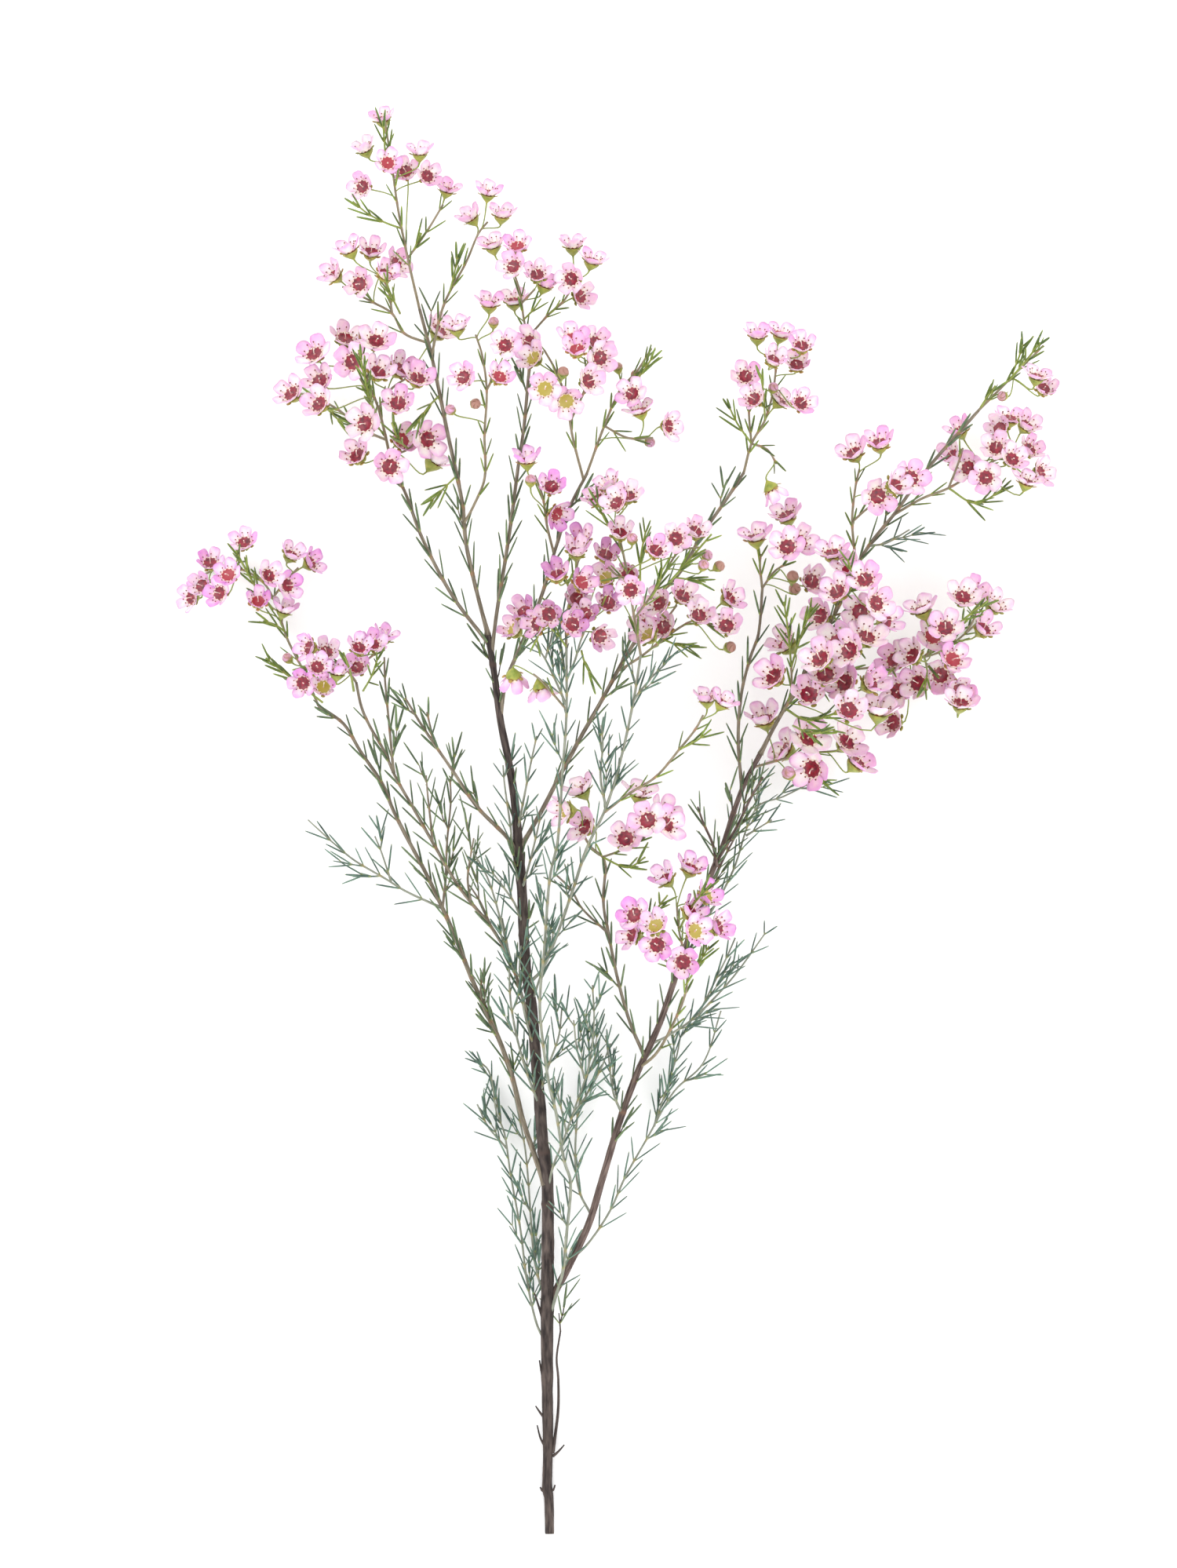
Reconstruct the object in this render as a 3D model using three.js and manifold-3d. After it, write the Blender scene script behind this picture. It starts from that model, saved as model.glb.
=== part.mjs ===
// Waxflower stem: one cut flowering branch lying on a surface.
// Millimetres, +Y along the stem to its tip, +X to the right, +Z up, the surface at z = 0.

import * as THREE from "three";
import Module from "manifold-3d";

const wasm = await Module();
wasm.setup();

// ---- driving dimensions (mm unless named otherwise) ----
const STEM_LENGTH = 600;
const LAYOUT_LENGTH = 1827; // the same length in layout units
const UNIT = STEM_LENGTH / LAYOUT_LENGTH; // mm in one layout unit
const LAYOUT_MIDDLE = [785, 1048.5]; // layout point over the origin

const BLOOM_RADIUS = 9.5;
const NOTCH_RADIUS = 7;
const CALYX_LENGTH = 5.4;
const CALYX_RIM = 3.6;
const CUP_RISE = 4.0; // petal tip over the calyx rim
const NOTCH_RISE = 3.1;
const DISC_SINK = 0.9; // middle of the bloom over the calyx rim
const STALK_RADIUS = 0.32; // at its root
const STALK_LENGTH = 10;
const LEAST_DEPTH = 4; // a bloom's face stands at least this far before its stalk's root
const BUD_RADIUS = 3.1;
const BUD_LENGTH = 7;
const BUD_WAIST = 3.8;

const NEEDLE_LENGTH = [9, 14];
const NEEDLE_WIDTH = 1;
const NEEDLE_FOOT = 1.3; // length of a needle's foot along its twig
const NEEDLE_OPEN = [0.45, 0.8]; // angle to the twig, radians
const NEEDLE_CLEARANCE = 0.9;
const PAIR_STEP = 20;
const TIP_STEP = 4; // the last pair stands this far below the tip

const NODE_GAP = 0.35;
const SLIVER = 0.02; // edges shorter than this are closed up
const START_DEPTH = 0.2; // below the surface it grows from, before the gap is cut
const START_SHIFT = 8; // a stem starts at most this far along its own line
const SAME_REACH = 16; // two blooms of one head closer than this stand at different heights
const SAME_STEP = 9;
const OTHER_REACH = 20.5;
const OTHER_STEP = 12;
const STEM_REACH = 10;
const STEM_STEP = 7;
const SETTLE_PASSES = 60;
const TURN_PASSES = 3;
const TURN_LEANS = [0.25, 0.5]; // how far a bloom may lean out of the way
const TURN_SHIFTS = [0, 3, -3]; // and how far it may rise or sink
const SLAB = 1.5; // nearer than this to a bloom's face is crowded

// Which way each kind of bloom looks: its way out of the head's middle and its random lean, each
// times a share, along x and y, and a fixed part along x, y and z.
const STANCES = {
  o: { out: [0.9, 0.6], lean: [0.8, 0.6], ahead: [0, 0.45, 1] },
  s: { out: [0.5, 0], lean: [0.6, 0], ahead: [0, 1, 0.4] },
  h: { out: [0, 0], lean: [0, 0], ahead: [0.45, -0.75, -0.2] },
  b: { out: [0.6, 0.6], lean: [0.5, 0.5], ahead: [0, 0.7, 0.5] },
};
const OPEN_DIP = 0.3; // an open bloom at its head's edge looks this much less far up

const COLOURS = {
  bark: [0x5b4a44, 0.85],
  twig: [0x80705f, 0.8],
  leaf: [0x4c6b48, 0.6],
  petal: [0xf0c3dc, 0.55],
};

// ---- layout ----
// Each stem is a line of points "across,down,height" with a radius as a fourth number where it
// changes. Across and down are layout units, height and radius millimetres. A head adds its
// blooms as "across,down" with a letter: s side on, h hanging, b bud, y with a yellow disc.
const PARTS = [
  {
    name: "main_stem", colour: "bark", sides: 8,
    stems: [
      "700,1962,1.55,1.9 699,1915,1.6,2 697,1905,2.1,2.3 697,1892,2.4,2 698,1850,4 697,1760,8.5,2.5 " +
        "697,1667,13.5,2.8 698,1580,18.5,2.6 697,1500,23 692,1463,25 687,1397,28.5,2.4 682,1340,31.5 " +
        "677,1280,34.5 670,1233,36.5,2.2 667,1180,39 665,1134,40.5 661,1084,42,2.1 656,1021,43.5,1.7 " +
        "647,964,44.5 638,919,45 630,859,45.5 622,809,46,1.3",
    ],
  },
  {
    name: "crown_branch", on: "main_stem", colour: "twig", sides: 4, leaves: [0.12, 0.95],
    stems: [
      "622,809,46,1.1 608,756,48 594,693,50 589,640,51 570,550,52 560,500,52.5 548,445,53,0.9 " +
        "535,395,52.5,0.8",
    ],
  },
  {
    name: "left_upper_branch", on: "main_stem", colour: "twig", sides: 4, leaves: [0.15, 0.95],
    stems: ["624,822,45.8,1 577,760,44 538,686,41 515,625,38 500,600,36,0.8"],
  },
  {
    name: "right_upper_branch", on: "main_stem", colour: "twig", sides: 4, leaves: [0.15, 0.95],
    stems: [
      "626,836,45.5,1 633,781,49 644,714,54 652,661,58 660,600,62 668,545,65 674,480,68 " +
        "680,425,70,0.8",
    ],
  },
  {
    name: "middle_branch", on: "main_stem", colour: "twig", sides: 4, leaves: [0.2, 0.95],
    stems: [
      "637,915,45,1.1 645,868,47 665,820,50 690,760,56 708,700,61 725,650,66 748,605,70,0.8",
    ],
  },
  {
    name: "right_centre_branch", on: "main_stem", colour: "twig", sides: 4, leaves: [0.15, 0.97],
    stems: [
      "662,1082,42,1.2 688,1037,43 711,993,43.5 739,941,44 768,890,44 794,842,43 813,810,42 " +
        "832,768,41 868,727,40 896,679,40 925,637,40 948,602,41,0.8",
    ],
  },
  {
    name: "left_centre_branch", on: "main_stem", colour: "twig", sides: 4, leaves: [0.15, 1],
    stems: [
      "661,1090,42,1.1 647,1068,44 608,1028,50 577,982,56 541,929,61 517,890,64,0.6",
      "553,946,59.5,0.6 545,908,66,0.5",
    ],
  },
  {
    name: "left_branch", on: "main_stem", colour: "twig", sides: 4, leaves: [0.15, 0.97],
    stems: [
      "694,1512,23,1.4 683,1480,23 667,1433,23 653,1377,22 637,1330,22 620,1293,21 600,1247,21 " +
        "580,1197,20 563,1158,20 541,1112,19 517,1067,18 499,1031,17 487,1001,17 457,956,16 " +
        "436,922,16 404,899,15,0.8",
    ],
  },
  {
    name: "left_lower_branch", on: "main_stem", colour: "twig", sides: 4, leaves: [0.12, 0.97],
    stems: [
      "681,1325,32.2,0.9 663,1263,39 650,1223,42 625,1180,43 600,1150,43 580,1123,42 552,1075,39 " +
        "527,1031,37 503,989,35 489,957,33 471,926,32 460,901,31 453,869,30,0.7",
      "501,985,35,0.7 496,930,34 490,866,32 489,837,31,0.5",
    ],
  },
  {
    name: "right_branch", on: "main_stem", colour: "bark", sides: 6, leaves: [0.3, 0.97],
    stems: [
      "698,1680,12.8,1.7 705,1655,13.6 723,1620,15 750,1563,18 767,1507,20 790,1430,23 " +
        "813,1367,25 827,1337,26 843,1300,27 863,1240,29 885,1175,31 908,1111,32 922,1077,33 " +
        "935,1036,34 949,999,35 969,961,36,1.1",
    ],
  },
  {
    name: "right_inner_branch", on: "right_branch", colour: "twig", sides: 4, leaves: [0.1, 0.95],
    stems: ["946,1006,34.8,0.9 941,945,37 945,884,37 957,836,35 967,807,34 972,749,32,0.7"],
  },
  {
    name: "right_outer_branch", on: "right_branch", colour: "twig", sides: 4, leaves: [0.1, 0.95],
    stems: [
      "969,961,36,1.1 990,920,37 1030,850,38 1070,770,38 1095,716,38 1112,689,38 1142,652,38 " +
        "1169,614,39 1193,584,40 1247,523,42,0.8",
    ],
  },
  {
    name: "low_branch", on: "right_branch", colour: "twig", sides: 4, leaves: [0.1, 0.97],
    stems: [
      "822,1348,25.6,0.9 803,1304,32 786,1243,38 776,1192,43 769,1151,47 772,1104,51,0.7",
      "776,1190,43,0.6 742,1158,46 728,1134,48 706,1112,50,0.5",
    ],
  },
  {
    name: "centre_branch_a", on: "main_stem", colour: "leaf", sides: 3, leaves: [0.05, 0.98],
    stems: [
      "698,1690,12.3,0.9 708,1655,17 717,1623,21 722,1573,28 727,1507,36 719,1480,39 709,1420,45 " +
        "700,1382,49 694,1344,52 688,1280,57 694,1206,64 701,1117,72 711,1070,76 717,983,82 " +
        "722,912,88 722,826,92,0.7",
    ],
  },
  {
    name: "centre_branch_b", on: "main_stem", colour: "leaf", sides: 3, leaves: [0.1, 0.98],
    stems: [
      "672,1255,35.6,0.9 691,1235,41 708,1196,48 731,1131,62 748,1080,74 772,1029,80 791,967,85 " +
        "807,893,90 816,836,93,0.7",
    ],
  },
  {
    name: "leafy_left", on: "left_branch", colour: "leaf", sides: 3, leaves: [0.1, 1],
    stems: [
      "563,1158,20,0.7 517,1137,17 489,1120,15 450,1097,12 422,1074,10 390,1045,7,0.45",
      "497,1124,15.5,0.5 475,1060,12 468,1036,11,0.45",
    ],
  },
  {
    name: "leafy_foot_left", on: "main_stem", colour: "leaf", sides: 3, leaves: [0.12, 1],
    stems: [
      "697,1720,10.6,0.7 683,1690,10 670,1630,9 663,1573,9 650,1500,9 642,1447,9 632,1420,9 " +
        "622,1367,9 600,1350,8,0.45",
      "645,1466,9,0.5 622,1440,7 607,1410,6,0.45",
    ],
  },
  {
    name: "leafy_foot_centre", on: "main_stem", colour: "leaf", sides: 3, leaves: [0.12, 1],
    stems: ["697,1668,13.4,0.7 685,1630,10 679,1597,8 673,1513,7 668,1463,6 655,1400,5,0.45"],
  },
  {
    name: "leafy_foot_right", on: "main_stem", colour: "leaf", sides: 3, leaves: [0.12, 1],
    stems: [
      "697,1528,21.5,0.7 704,1490,27 717,1457,30 730,1420,34 750,1360,40 757,1303,46 755,1255,52,0.45",
      "722,1445,31.4,0.5 712,1400,36 706,1372,38,0.45",
    ],
  },
  {
    name: "leafy_inner", on: "right_branch", colour: "leaf", sides: 3, leaves: [0.12, 1],
    stems: ["754,1552,18.3,0.7 738,1520,12 733,1470,8 740,1400,6 760,1345,5,0.45"],
  },
  {
    name: "leafy_right_long", on: "right_branch", colour: "leaf", sides: 3, leaves: [0.12, 1],
    stems: [
      "729,1607,15.5,0.7 750,1587,15 777,1547,13 797,1503,12 827,1450,11 860,1393,10 897,1357,9 " +
        "920,1290,7,0.45",
      "834,1438,11,0.5 862,1352,10 868,1322,10,0.45",
    ],
  },
  {
    name: "leafy_right_arm", on: "right_branch", colour: "leaf", sides: 3, leaves: [0.12, 1],
    stems: [
      "830,1331,26.2,0.7 850,1322,24 883,1300,21 917,1267,17 943,1237,13 977,1190,8,0.45",
      "892,1291,20,0.5 925,1225,17 938,1196,16,0.45",
    ],
  },
  {
    name: "leafy_right_side", on: "right_branch", colour: "leaf", sides: 3, leaves: [0.12, 1],
    stems: [
      "879,1195,30.4,0.7 905,1165,25 935,1110,19 965,1030,14 1000,1015,12 1030,1000,10,0.45",
      "952,1065,16.6,0.5 985,1045,13,0.45",
    ],
  },
  {
    name: "leafy_low", on: "right_branch", colour: "leaf", sides: 3, leaves: [0.12, 1],
    stems: ["793,1421,23.2,0.7 782,1395,29 776,1350,35 772,1320,38,0.45"],
  },
  {
    name: "leafy_left_inner", on: "left_lower_branch", colour: "leaf", sides: 3, leaves: [0.12, 1],
    stems: ["650,1223,42,0.7 640,1180,46 622,1120,50 603,1085,53,0.45"],
  },
  {
    name: "leafy_right_tip", on: "right_outer_branch", colour: "leaf", sides: 3, leaves: [0.15, 1],
    stems: ["1108,695,38,0.6 1129,692,42 1159,675,46,0.45"],
  },
  {
    name: "head_crown_top", on: "crown_branch", size: 0.78, span: [30, 62], leaves: [0.2, 1],
    stems: [
      "535,395,52.5,0.7 520,330,51 508,270,50 500,215,48 490,150,45,0.55",
      "520,330,51,0.6 545,295,54 565,262,56,0.55",
    ],
    blooms:
      "487,150,s 465,190,s 462,238 495,210 517,218 535,195,s 545,225 570,240,s",
  },
  {
    name: "head_crown_right", on: "crown_branch", size: 0.8, span: [52, 76], leaves: [0.2, 0.8],
    stems: ["550,455,53,0.7 566,390,57 595,335,60 610,300,62 622,285,63,0.55"],
    blooms: "600,278,s 623,248,s 640,275,s",
  },
  {
    name: "head_crown_left", on: "crown_branch", size: 0.85, span: [28, 58], leaves: [0.2, 0.8],
    stems: [
      "546,438,53,0.7 515,425,50 500,400,47 475,385,44 450,372,42 436,365,41,0.55",
      "500,400,47,0.6 495,370,48 485,350,49,0.55",
    ],
    blooms: "425,350 445,318,s 473,320 492,350 458,362 505,335",
  },
  {
    name: "head_top_left", on: "right_upper_branch", size: 0.82, span: [60, 92], leaves: [0.2, 0.8],
    stems: [
      "677,452,69,0.6 668,410,73 663,375,75 655,350,76,0.55",
      "665,390,74,0.6 682,372,77,0.55",
    ],
    blooms: "628,315,s 660,318 655,345 685,355 695,365,s 655,385,s",
  },
  {
    name: "head_top_right", on: "right_upper_branch", size: 0.82, span: [60, 88], leaves: [0.2, 0.8],
    stems: ["680,425,70,0.6 700,403,72 720,385,74 733,360,75,0.55"],
    blooms: "730,315,s 755,335,s 728,360 740,380",
  },
  {
    name: "head_upper_centre", on: "crown_branch", size: 0.82, span: [66, 98], leaves: [0.15, 0.9],
    stems: [
      "591,668,50.4,0.7 604,645,56 618,610,61 618,555,68 621,500,74 615,455,78 607,430,80,0.55",
      "621,500,74,0.6 636,470,79,0.55",
    ],
    blooms:
      "583,420,s 592,485 638,485 645,445 625,390,s 607,518,b 575,525,b 630,415,b",
  },
  {
    name: "head_upper_middle", on: "middle_branch", size: 0.88, span: [74, 104], leaves: [0.2, 0.9],
    stems: [
      "744,614,69.6,0.7 730,560,76 721,510,80 708,475,83 694,450,85,0.55",
      "727,540,77.5,0.6 745,500,81 752,462,84,0.55",
    ],
    blooms:
      "675,440 680,460,y 695,500,y 722,515,y 730,435 735,450 760,440 765,460 750,490 718,480,b",
  },
  {
    name: "head_right_buds", on: "middle_branch", size: 0.8, span: [58, 84], leaves: [0.15, 1],
    stems: [
      "748,605,70,0.7 770,545,72 790,500,74 812,475,75 830,447,76,0.55",
      "770,545,72,0.6 800,560,70 832,560,69,0.55",
    ],
    blooms: "787,470,b 810,480,b 805,505 815,525,s 852,545 828,565,b",
  },
  {
    name: "head_left_big", on: "left_upper_branch", size: 0.95, span: [7, 66], leaves: [0.2, 1],
    stems: [
      "500,600,36,0.8 492,560,38 482,520,41 467,480,44 460,445,46 458,420,47,0.55",
      "492,560,38,0.7 460,545,25 430,520,12 400,503,3,0.6 378,497,0.3,0.55",
      "496,580,37,0.6 520,572,40 538,552,43,0.55",
      "482,520,41,0.6 500,495,50 520,482,55,0.55",
      "476,548,31.5,0.6 470,505,20 452,470,15,0.55",
    ],
    blooms:
      "370,500 407,485 407,515 400,450 450,462 480,435 483,475 510,470 533,483 508,515 465,540 " +
      "512,560 455,580 497,595 545,560 553,585,s 440,430 560,420",
  },
  {
    name: "head_far_left", on: "left_branch", size: 0.8, span: [7, 36], leaves: [0.1, 0.95],
    stems: [
      "404,899,15,0.7 385,855,13 365,816,10 355,788,8 345,760,6 330,738,4 300,722,2,0.55 " +
        "275,722,1 250,733,0.3,0.55",
      "345,760,6,0.6 362,738,12 378,722,15,0.55",
      "300,722,2,0.55 302,703,10 299,682,16,0.55",
    ],
    blooms:
      "265,715 255,745 278,755 290,732 240,760 310,690 370,705 342,733 365,745 328,765 395,715 " +
      "360,775,s",
  },
  {
    name: "head_left_lower", on: "left_lower_branch", size: 0.8, span: [20, 50], leaves: [0.1, 1],
    stems: [
      "453,869,30,0.7 440,852,30 420,842,29 400,846,28 385,852,27,0.55",
      "446,860,30,0.6 462,845,33 478,832,35,0.55",
    ],
    blooms:
      "393,825 415,830 385,870 412,875,y 405,850 458,825 475,820 490,810,s 455,850 430,855,s " +
      "365,838,b",
  },
  {
    name: "head_middle_upper", on: "middle_branch", size: 0.85, span: [66, 92], leaves: [0.2, 0.8],
    stems: ["706,706,60.5,0.7 697,670,68 692,635,73 682,608,75,0.55"],
    blooms: "672,588,s 703,622 710,657 677,615,b",
  },
  {
    name: "head_middle_right", on: "centre_branch_b", size: 0.85, span: [76, 116], leaves: [0.1, 0.9],
    stems: [
      "816,836,93,0.7 808,790,94 800,740,95 792,700,96 783,665,97,0.55",
      "808,790,94,0.6 830,760,93 848,730,92 865,705,91 890,700,90,0.55",
      "800,740,95,0.6 785,735,98 775,725,99,0.55",
    ],
    blooms:
      "760,638 785,645 775,620 800,635 790,682 772,738,y 800,735 803,755 835,705 860,690 885,680 " +
      "805,690,b 900,710,b 895,723,b 915,724,b",
  },
  {
    name: "head_middle_left", on: "centre_branch_a", size: 0.88, span: [72, 116], leaves: [0.1, 0.9],
    stems: [
      "722,826,92,0.7 722,790,93 728,760,94 735,725,95 742,700,96,0.55",
      "722,790,93,0.6 700,778,91 680,785,90,0.55",
      "722,812,92.4,0.6 742,798,93 760,788,94,0.55",
    ],
    blooms:
      "740,690 735,705 710,735 742,745 772,708 735,765 700,785 668,780 655,803,y 745,785 685,797 " +
      "730,798 765,812 775,770",
  },
  {
    name: "head_middle_low", on: "right_centre_branch", size: 0.9, span: [50, 78], leaves: [0.2, 0.9],
    stems: [
      "786,856,43.3,0.7 815,838,51 845,815,58 875,795,62 905,785,65 925,783,66,0.55",
      "845,815,58,0.6 850,790,62 862,772,64,0.55",
      "890,790,63.5,0.6 920,805,62,0.55",
    ],
    blooms: "840,770 820,797 825,810,y 845,800 870,760 890,785 925,798 930,762 930,825,b",
  },
  {
    name: "head_hanging", on: "centre_branch_a", size: 0.85, span: [70, 90], leaves: [0.3, 0.8],
    stems: ["722,905,88.3,0.6 705,885,86 690,868,84 680,860,83,0.55"],
    blooms: "655,865,h 690,880,h",
  },
  {
    name: "head_centre_twig", on: "centre_branch_b", size: 0.8, span: [80, 100], leaves: [0.1, 0.95],
    stems: ["770,1035,79.5,0.7 800,1012,83 835,990,86 865,955,88 885,930,89 895,912,90,0.55"],
    blooms: "900,890,s 920,895,s",
  },
  {
    name: "head_upper_right", on: "right_centre_branch", size: 0.82, span: [20, 66], leaves: [0.12, 1],
    stems: [
      "948,602,41,0.7 958,565,40 975,535,41 985,500,43 990,460,46,0.55",
      "958,565,40,0.6 955,530,36 955,500,34,0.55",
      "958,565,40,0.6 978,572,37 990,590,34,0.55",
    ],
    blooms:
      "965,428,s 995,425,s 985,460 1015,465 950,480 960,510 995,510,s 1020,515 1021,442 985,625,h " +
      "985,495,b",
  },
  {
    name: "head_far_right_tip", on: "right_outer_branch", size: 0.8, span: [34, 60], leaves: [0.1, 1],
    stems: ["1247,523,42,0.7 1285,485,43 1315,455,44 1330,440,44,0.55"],
    blooms: "1320,480,s 1330,495 1277,505,b",
  },
  {
    name: "head_far_right", on: "right_outer_branch", size: 0.85, span: [8, 48], leaves: [0.1, 0.9],
    stems: [
      "1139,656,38,0.7 1175,635,36 1210,621,32 1240,603,28 1270,585,25 1300,570,23,0.55",
      "1210,621,32,0.6 1222,590,33 1228,570,34,0.55",
    ],
    blooms:
      "1225,545 1215,578 1290,530,s 1275,545 1310,540 1270,570 1290,585 1315,570 1257,608 " +
      "1310,612,s 1330,600 1235,595",
  },
  {
    name: "head_right_upper", on: "right_outer_branch", size: 0.95, span: [44, 74], leaves: [0.15, 0.9],
    stems: [
      "1092,722,38,0.7 1086,665,46 1090,620,50 1095,598,51,0.55",
      "1086,665,46,0.6 1110,645,51 1135,635,54,0.55",
    ],
    blooms: "1087,577 1120,565 1118,633 1160,610 1140,620",
  },
  {
    name: "head_right_inner", on: "right_inner_branch", size: 0.95, span: [22, 54], leaves: [0.2, 0.95],
    stems: [
      "972,749,32,0.7 969,720,32 970,705,32,0.55",
      "972,749,32,0.6 987,728,34 1002,718,36,0.55",
    ],
    blooms: "963,683,s 1003,655 1003,697 1020,690 1035,740 1010,735,b 1013,750,b",
  },
  {
    name: "head_right_middle", on: "right_outer_branch", size: 0.95, span: [50, 82], leaves: [0.15, 0.9],
    stems: [
      "1052,806,38,0.7 1060,790,46 1068,765,51 1078,745,54 1085,735,55,0.55",
      "1062,784,47,0.6 1085,780,53 1105,775,56,0.55",
    ],
    blooms: "1060,705 1080,725 1100,740 1065,755 1115,770 1045,785 1095,780 1130,790",
  },
  {
    name: "head_right_lower", on: "right_outer_branch", size: 1.06, span: [46, 82], leaves: [0.15, 0.9],
    stems: [
      "993,915,37,0.7 1010,890,46 1035,865,52 1060,850,55 1090,838,57,0.55",
      "1035,865,52,0.6 1060,885,54 1085,890,55,0.55",
      "1010,890,46,0.6 1008,850,50,0.55",
    ],
    blooms:
      "1000,820 1043,840 1065,820 1103,812 1080,830 985,862 1075,870 1030,885 1110,870 1050,860 " +
      "1080,905 1120,905,s",
  },
  {
    name: "head_right_low", on: "right_branch", size: 1.05, span: [14, 46], leaves: [0.2, 1],
    stems: [
      "960,978,35.6,0.7 995,968,30 1030,960,26 1065,957,23 1083,955,22,0.55",
    ],
    blooms: "975,915 1000,955 1030,940 1035,980 1080,945 1095,970,s 1005,985,b",
  },
  {
    name: "head_right_side", on: "right_outer_branch", size: 0.95, span: [7, 46], leaves: [0.15, 1],
    stems: [
      "1024,860,37.8,0.7 1070,854,26 1110,850,15 1150,842,7 1200,830,2.5,0.55 1235,805,1.2 " +
        "1258,784,0.3,0.55",
      "1150,842,7,0.6 1180,835,16 1200,815,22,0.55",
      "1200,830,2.5,0.6 1212,850,12 1222,868,16,0.55",
      "1235,805,1.2,0.6 1245,785,14 1250,765,20,0.55",
    ],
    blooms:
      "1163,835 1140,840 1205,800 1190,810 1175,775,s 1228,760 1255,800 1270,770 1245,755 " +
      "1215,840 1200,860 1170,870 1225,880 1145,880 1225,895,s 1140,920",
  },
  {
    name: "head_low_upper", on: "low_branch", size: 0.95, span: [52, 74], leaves: [0.15, 0.9],
    stems: [
      "772,1104,51,0.7 768,1092,53 752,1078,56 742,1060,58,0.55",
      "768,1092,53,0.6 795,1082,56 820,1068,59 832,1052,60,0.55",
    ],
    blooms:
      "720,1033,y 740,1005,s 745,1053 797,1068 815,1010,s 825,1045 850,1050 845,1035",
  },
  {
    name: "head_low", on: "right_branch", size: 0.9, span: [46, 86], leaves: [0.15, 0.9],
    stems: [
      "815,1362,25.1,0.8 835,1345,31 850,1321,37 871,1274,45 876,1245,49 872,1215,53 865,1185,56 " +
        "862,1150,59,0.55",
      "876,1245,49,0.6 850,1225,53 830,1210,56 815,1195,58,0.55",
    ],
    blooms:
      "847,1118 880,1105 900,1140,y 880,1160 808,1165 835,1178,y 805,1190 837,1203 885,1185,y " +
      "915,1180 870,1225",
  },
];

// ---- rule for the repeats ----
const random = (seed) => {
  const value = Math.sin(seed * 127.1) * 43758.5453;
  return value - Math.floor(value);
};

const vec = (x, y, z) => new THREE.Vector3(x, y, z);

const spot = (across, down, height) =>
  vec((across - LAYOUT_MIDDLE[0]) * UNIT, (LAYOUT_MIDDLE[1] - down) * UNIT, height);

function readStem(text) {
  const rows = text.split(" ").map((word) => word.split(",").map(Number));
  const points = rows.map(([across, down, height]) => spot(across, down, height));
  const along = [0];
  for (let i = 1; i < points.length; i++)
    along.push(along[i - 1] + points[i].distanceTo(points[i - 1]));
  const known = rows.map((row, i) => i).filter((i) => rows[i].length > 3);
  const radii = rows.map((row, i) => {
    if (row.length > 3) return row[3];
    const before = known.filter((k) => k < i).pop();
    const after = known.find((k) => k > i) ?? known[known.length - 1];
    const share = (along[i] - along[before]) / (along[after] - along[before] || 1);
    return rows[before][3] + (rows[after][3] - rows[before][3]) * share;
  });
  return { points, radii, along, length: along[along.length - 1] };
}

function stemAt(stem, distance) {
  let i = 1;
  while (i < stem.along.length - 1 && stem.along[i] < distance) i++;
  const share = (distance - stem.along[i - 1]) / (stem.along[i] - stem.along[i - 1]);
  return {
    point: stem.points[i - 1].clone().lerp(stem.points[i], share),
    forward: stem.points[i].clone().sub(stem.points[i - 1]).normalize(),
    radius: stem.radii[i - 1] + (stem.radii[i] - stem.radii[i - 1]) * share,
  };
}

function nearestOnSegment(p, a, b) {
  const line = b.clone().sub(a);
  const share = THREE.MathUtils.clamp(p.clone().sub(a).dot(line) / line.lengthSq(), 0, 1);
  return a.clone().addScaledVector(line, share);
}

// Blooms keep their place seen from above; only their heights move until they clear each other.
function settleHeights(parts) {
  const all = parts.flatMap((part) => part.blooms);
  const flat = (a, b) => Math.hypot(a.x - b.x, a.y - b.y);
  for (let pass = 0; pass < SETTLE_PASSES; pass++) {
    for (let i = 0; i < all.length; i++)
      for (let j = i + 1; j < all.length; j++) {
        const one = all[i];
        const two = all[j];
        const same = one.part === two.part;
        const reach = same ? SAME_REACH : OTHER_REACH;
        const away = flat(one.at, two.at);
        if (away >= reach) continue;
        const step = (same ? SAME_STEP : OTHER_STEP) * Math.sqrt(1 - (away / reach) ** 2);
        const rise = two.at.z - one.at.z;
        const lack = step - Math.abs(rise);
        if (lack <= 0) continue;
        const push = 0.5 * lack * (rise >= 0 ? 1 : -1);
        one.at.z -= push;
        two.at.z += push;
      }
    for (const bloom of all) {
      for (const part of parts) {
        if (part === bloom.part) continue;
        for (const stem of part.lines)
          for (let k = 1; k < stem.points.length; k++) {
            const a = stem.points[k - 1];
            const b = stem.points[k];
            const p = vec(bloom.at.x, bloom.at.y, 0);
            const near = nearestOnSegment(p, vec(a.x, a.y, 0), vec(b.x, b.y, 0));
            const away = p.distanceTo(near);
            if (away >= STEM_REACH) continue;
            const run = Math.hypot(b.x - a.x, b.y - a.y) || 1;
            const share = Math.hypot(near.x - a.x, near.y - a.y) / run;
            const level = a.z + (b.z - a.z) * share;
            const rise = bloom.at.z - level;
            const lack = STEM_STEP * Math.sqrt(1 - (away / STEM_REACH) ** 2) - Math.abs(rise);
            if (lack > 0) bloom.at.z += lack * (rise >= 0 ? 1 : -1);
          }
      }
      bloom.at.z = THREE.MathUtils.clamp(bloom.at.z, bloom.part.span[0], bloom.part.span[1]);
    }
  }
}

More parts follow.
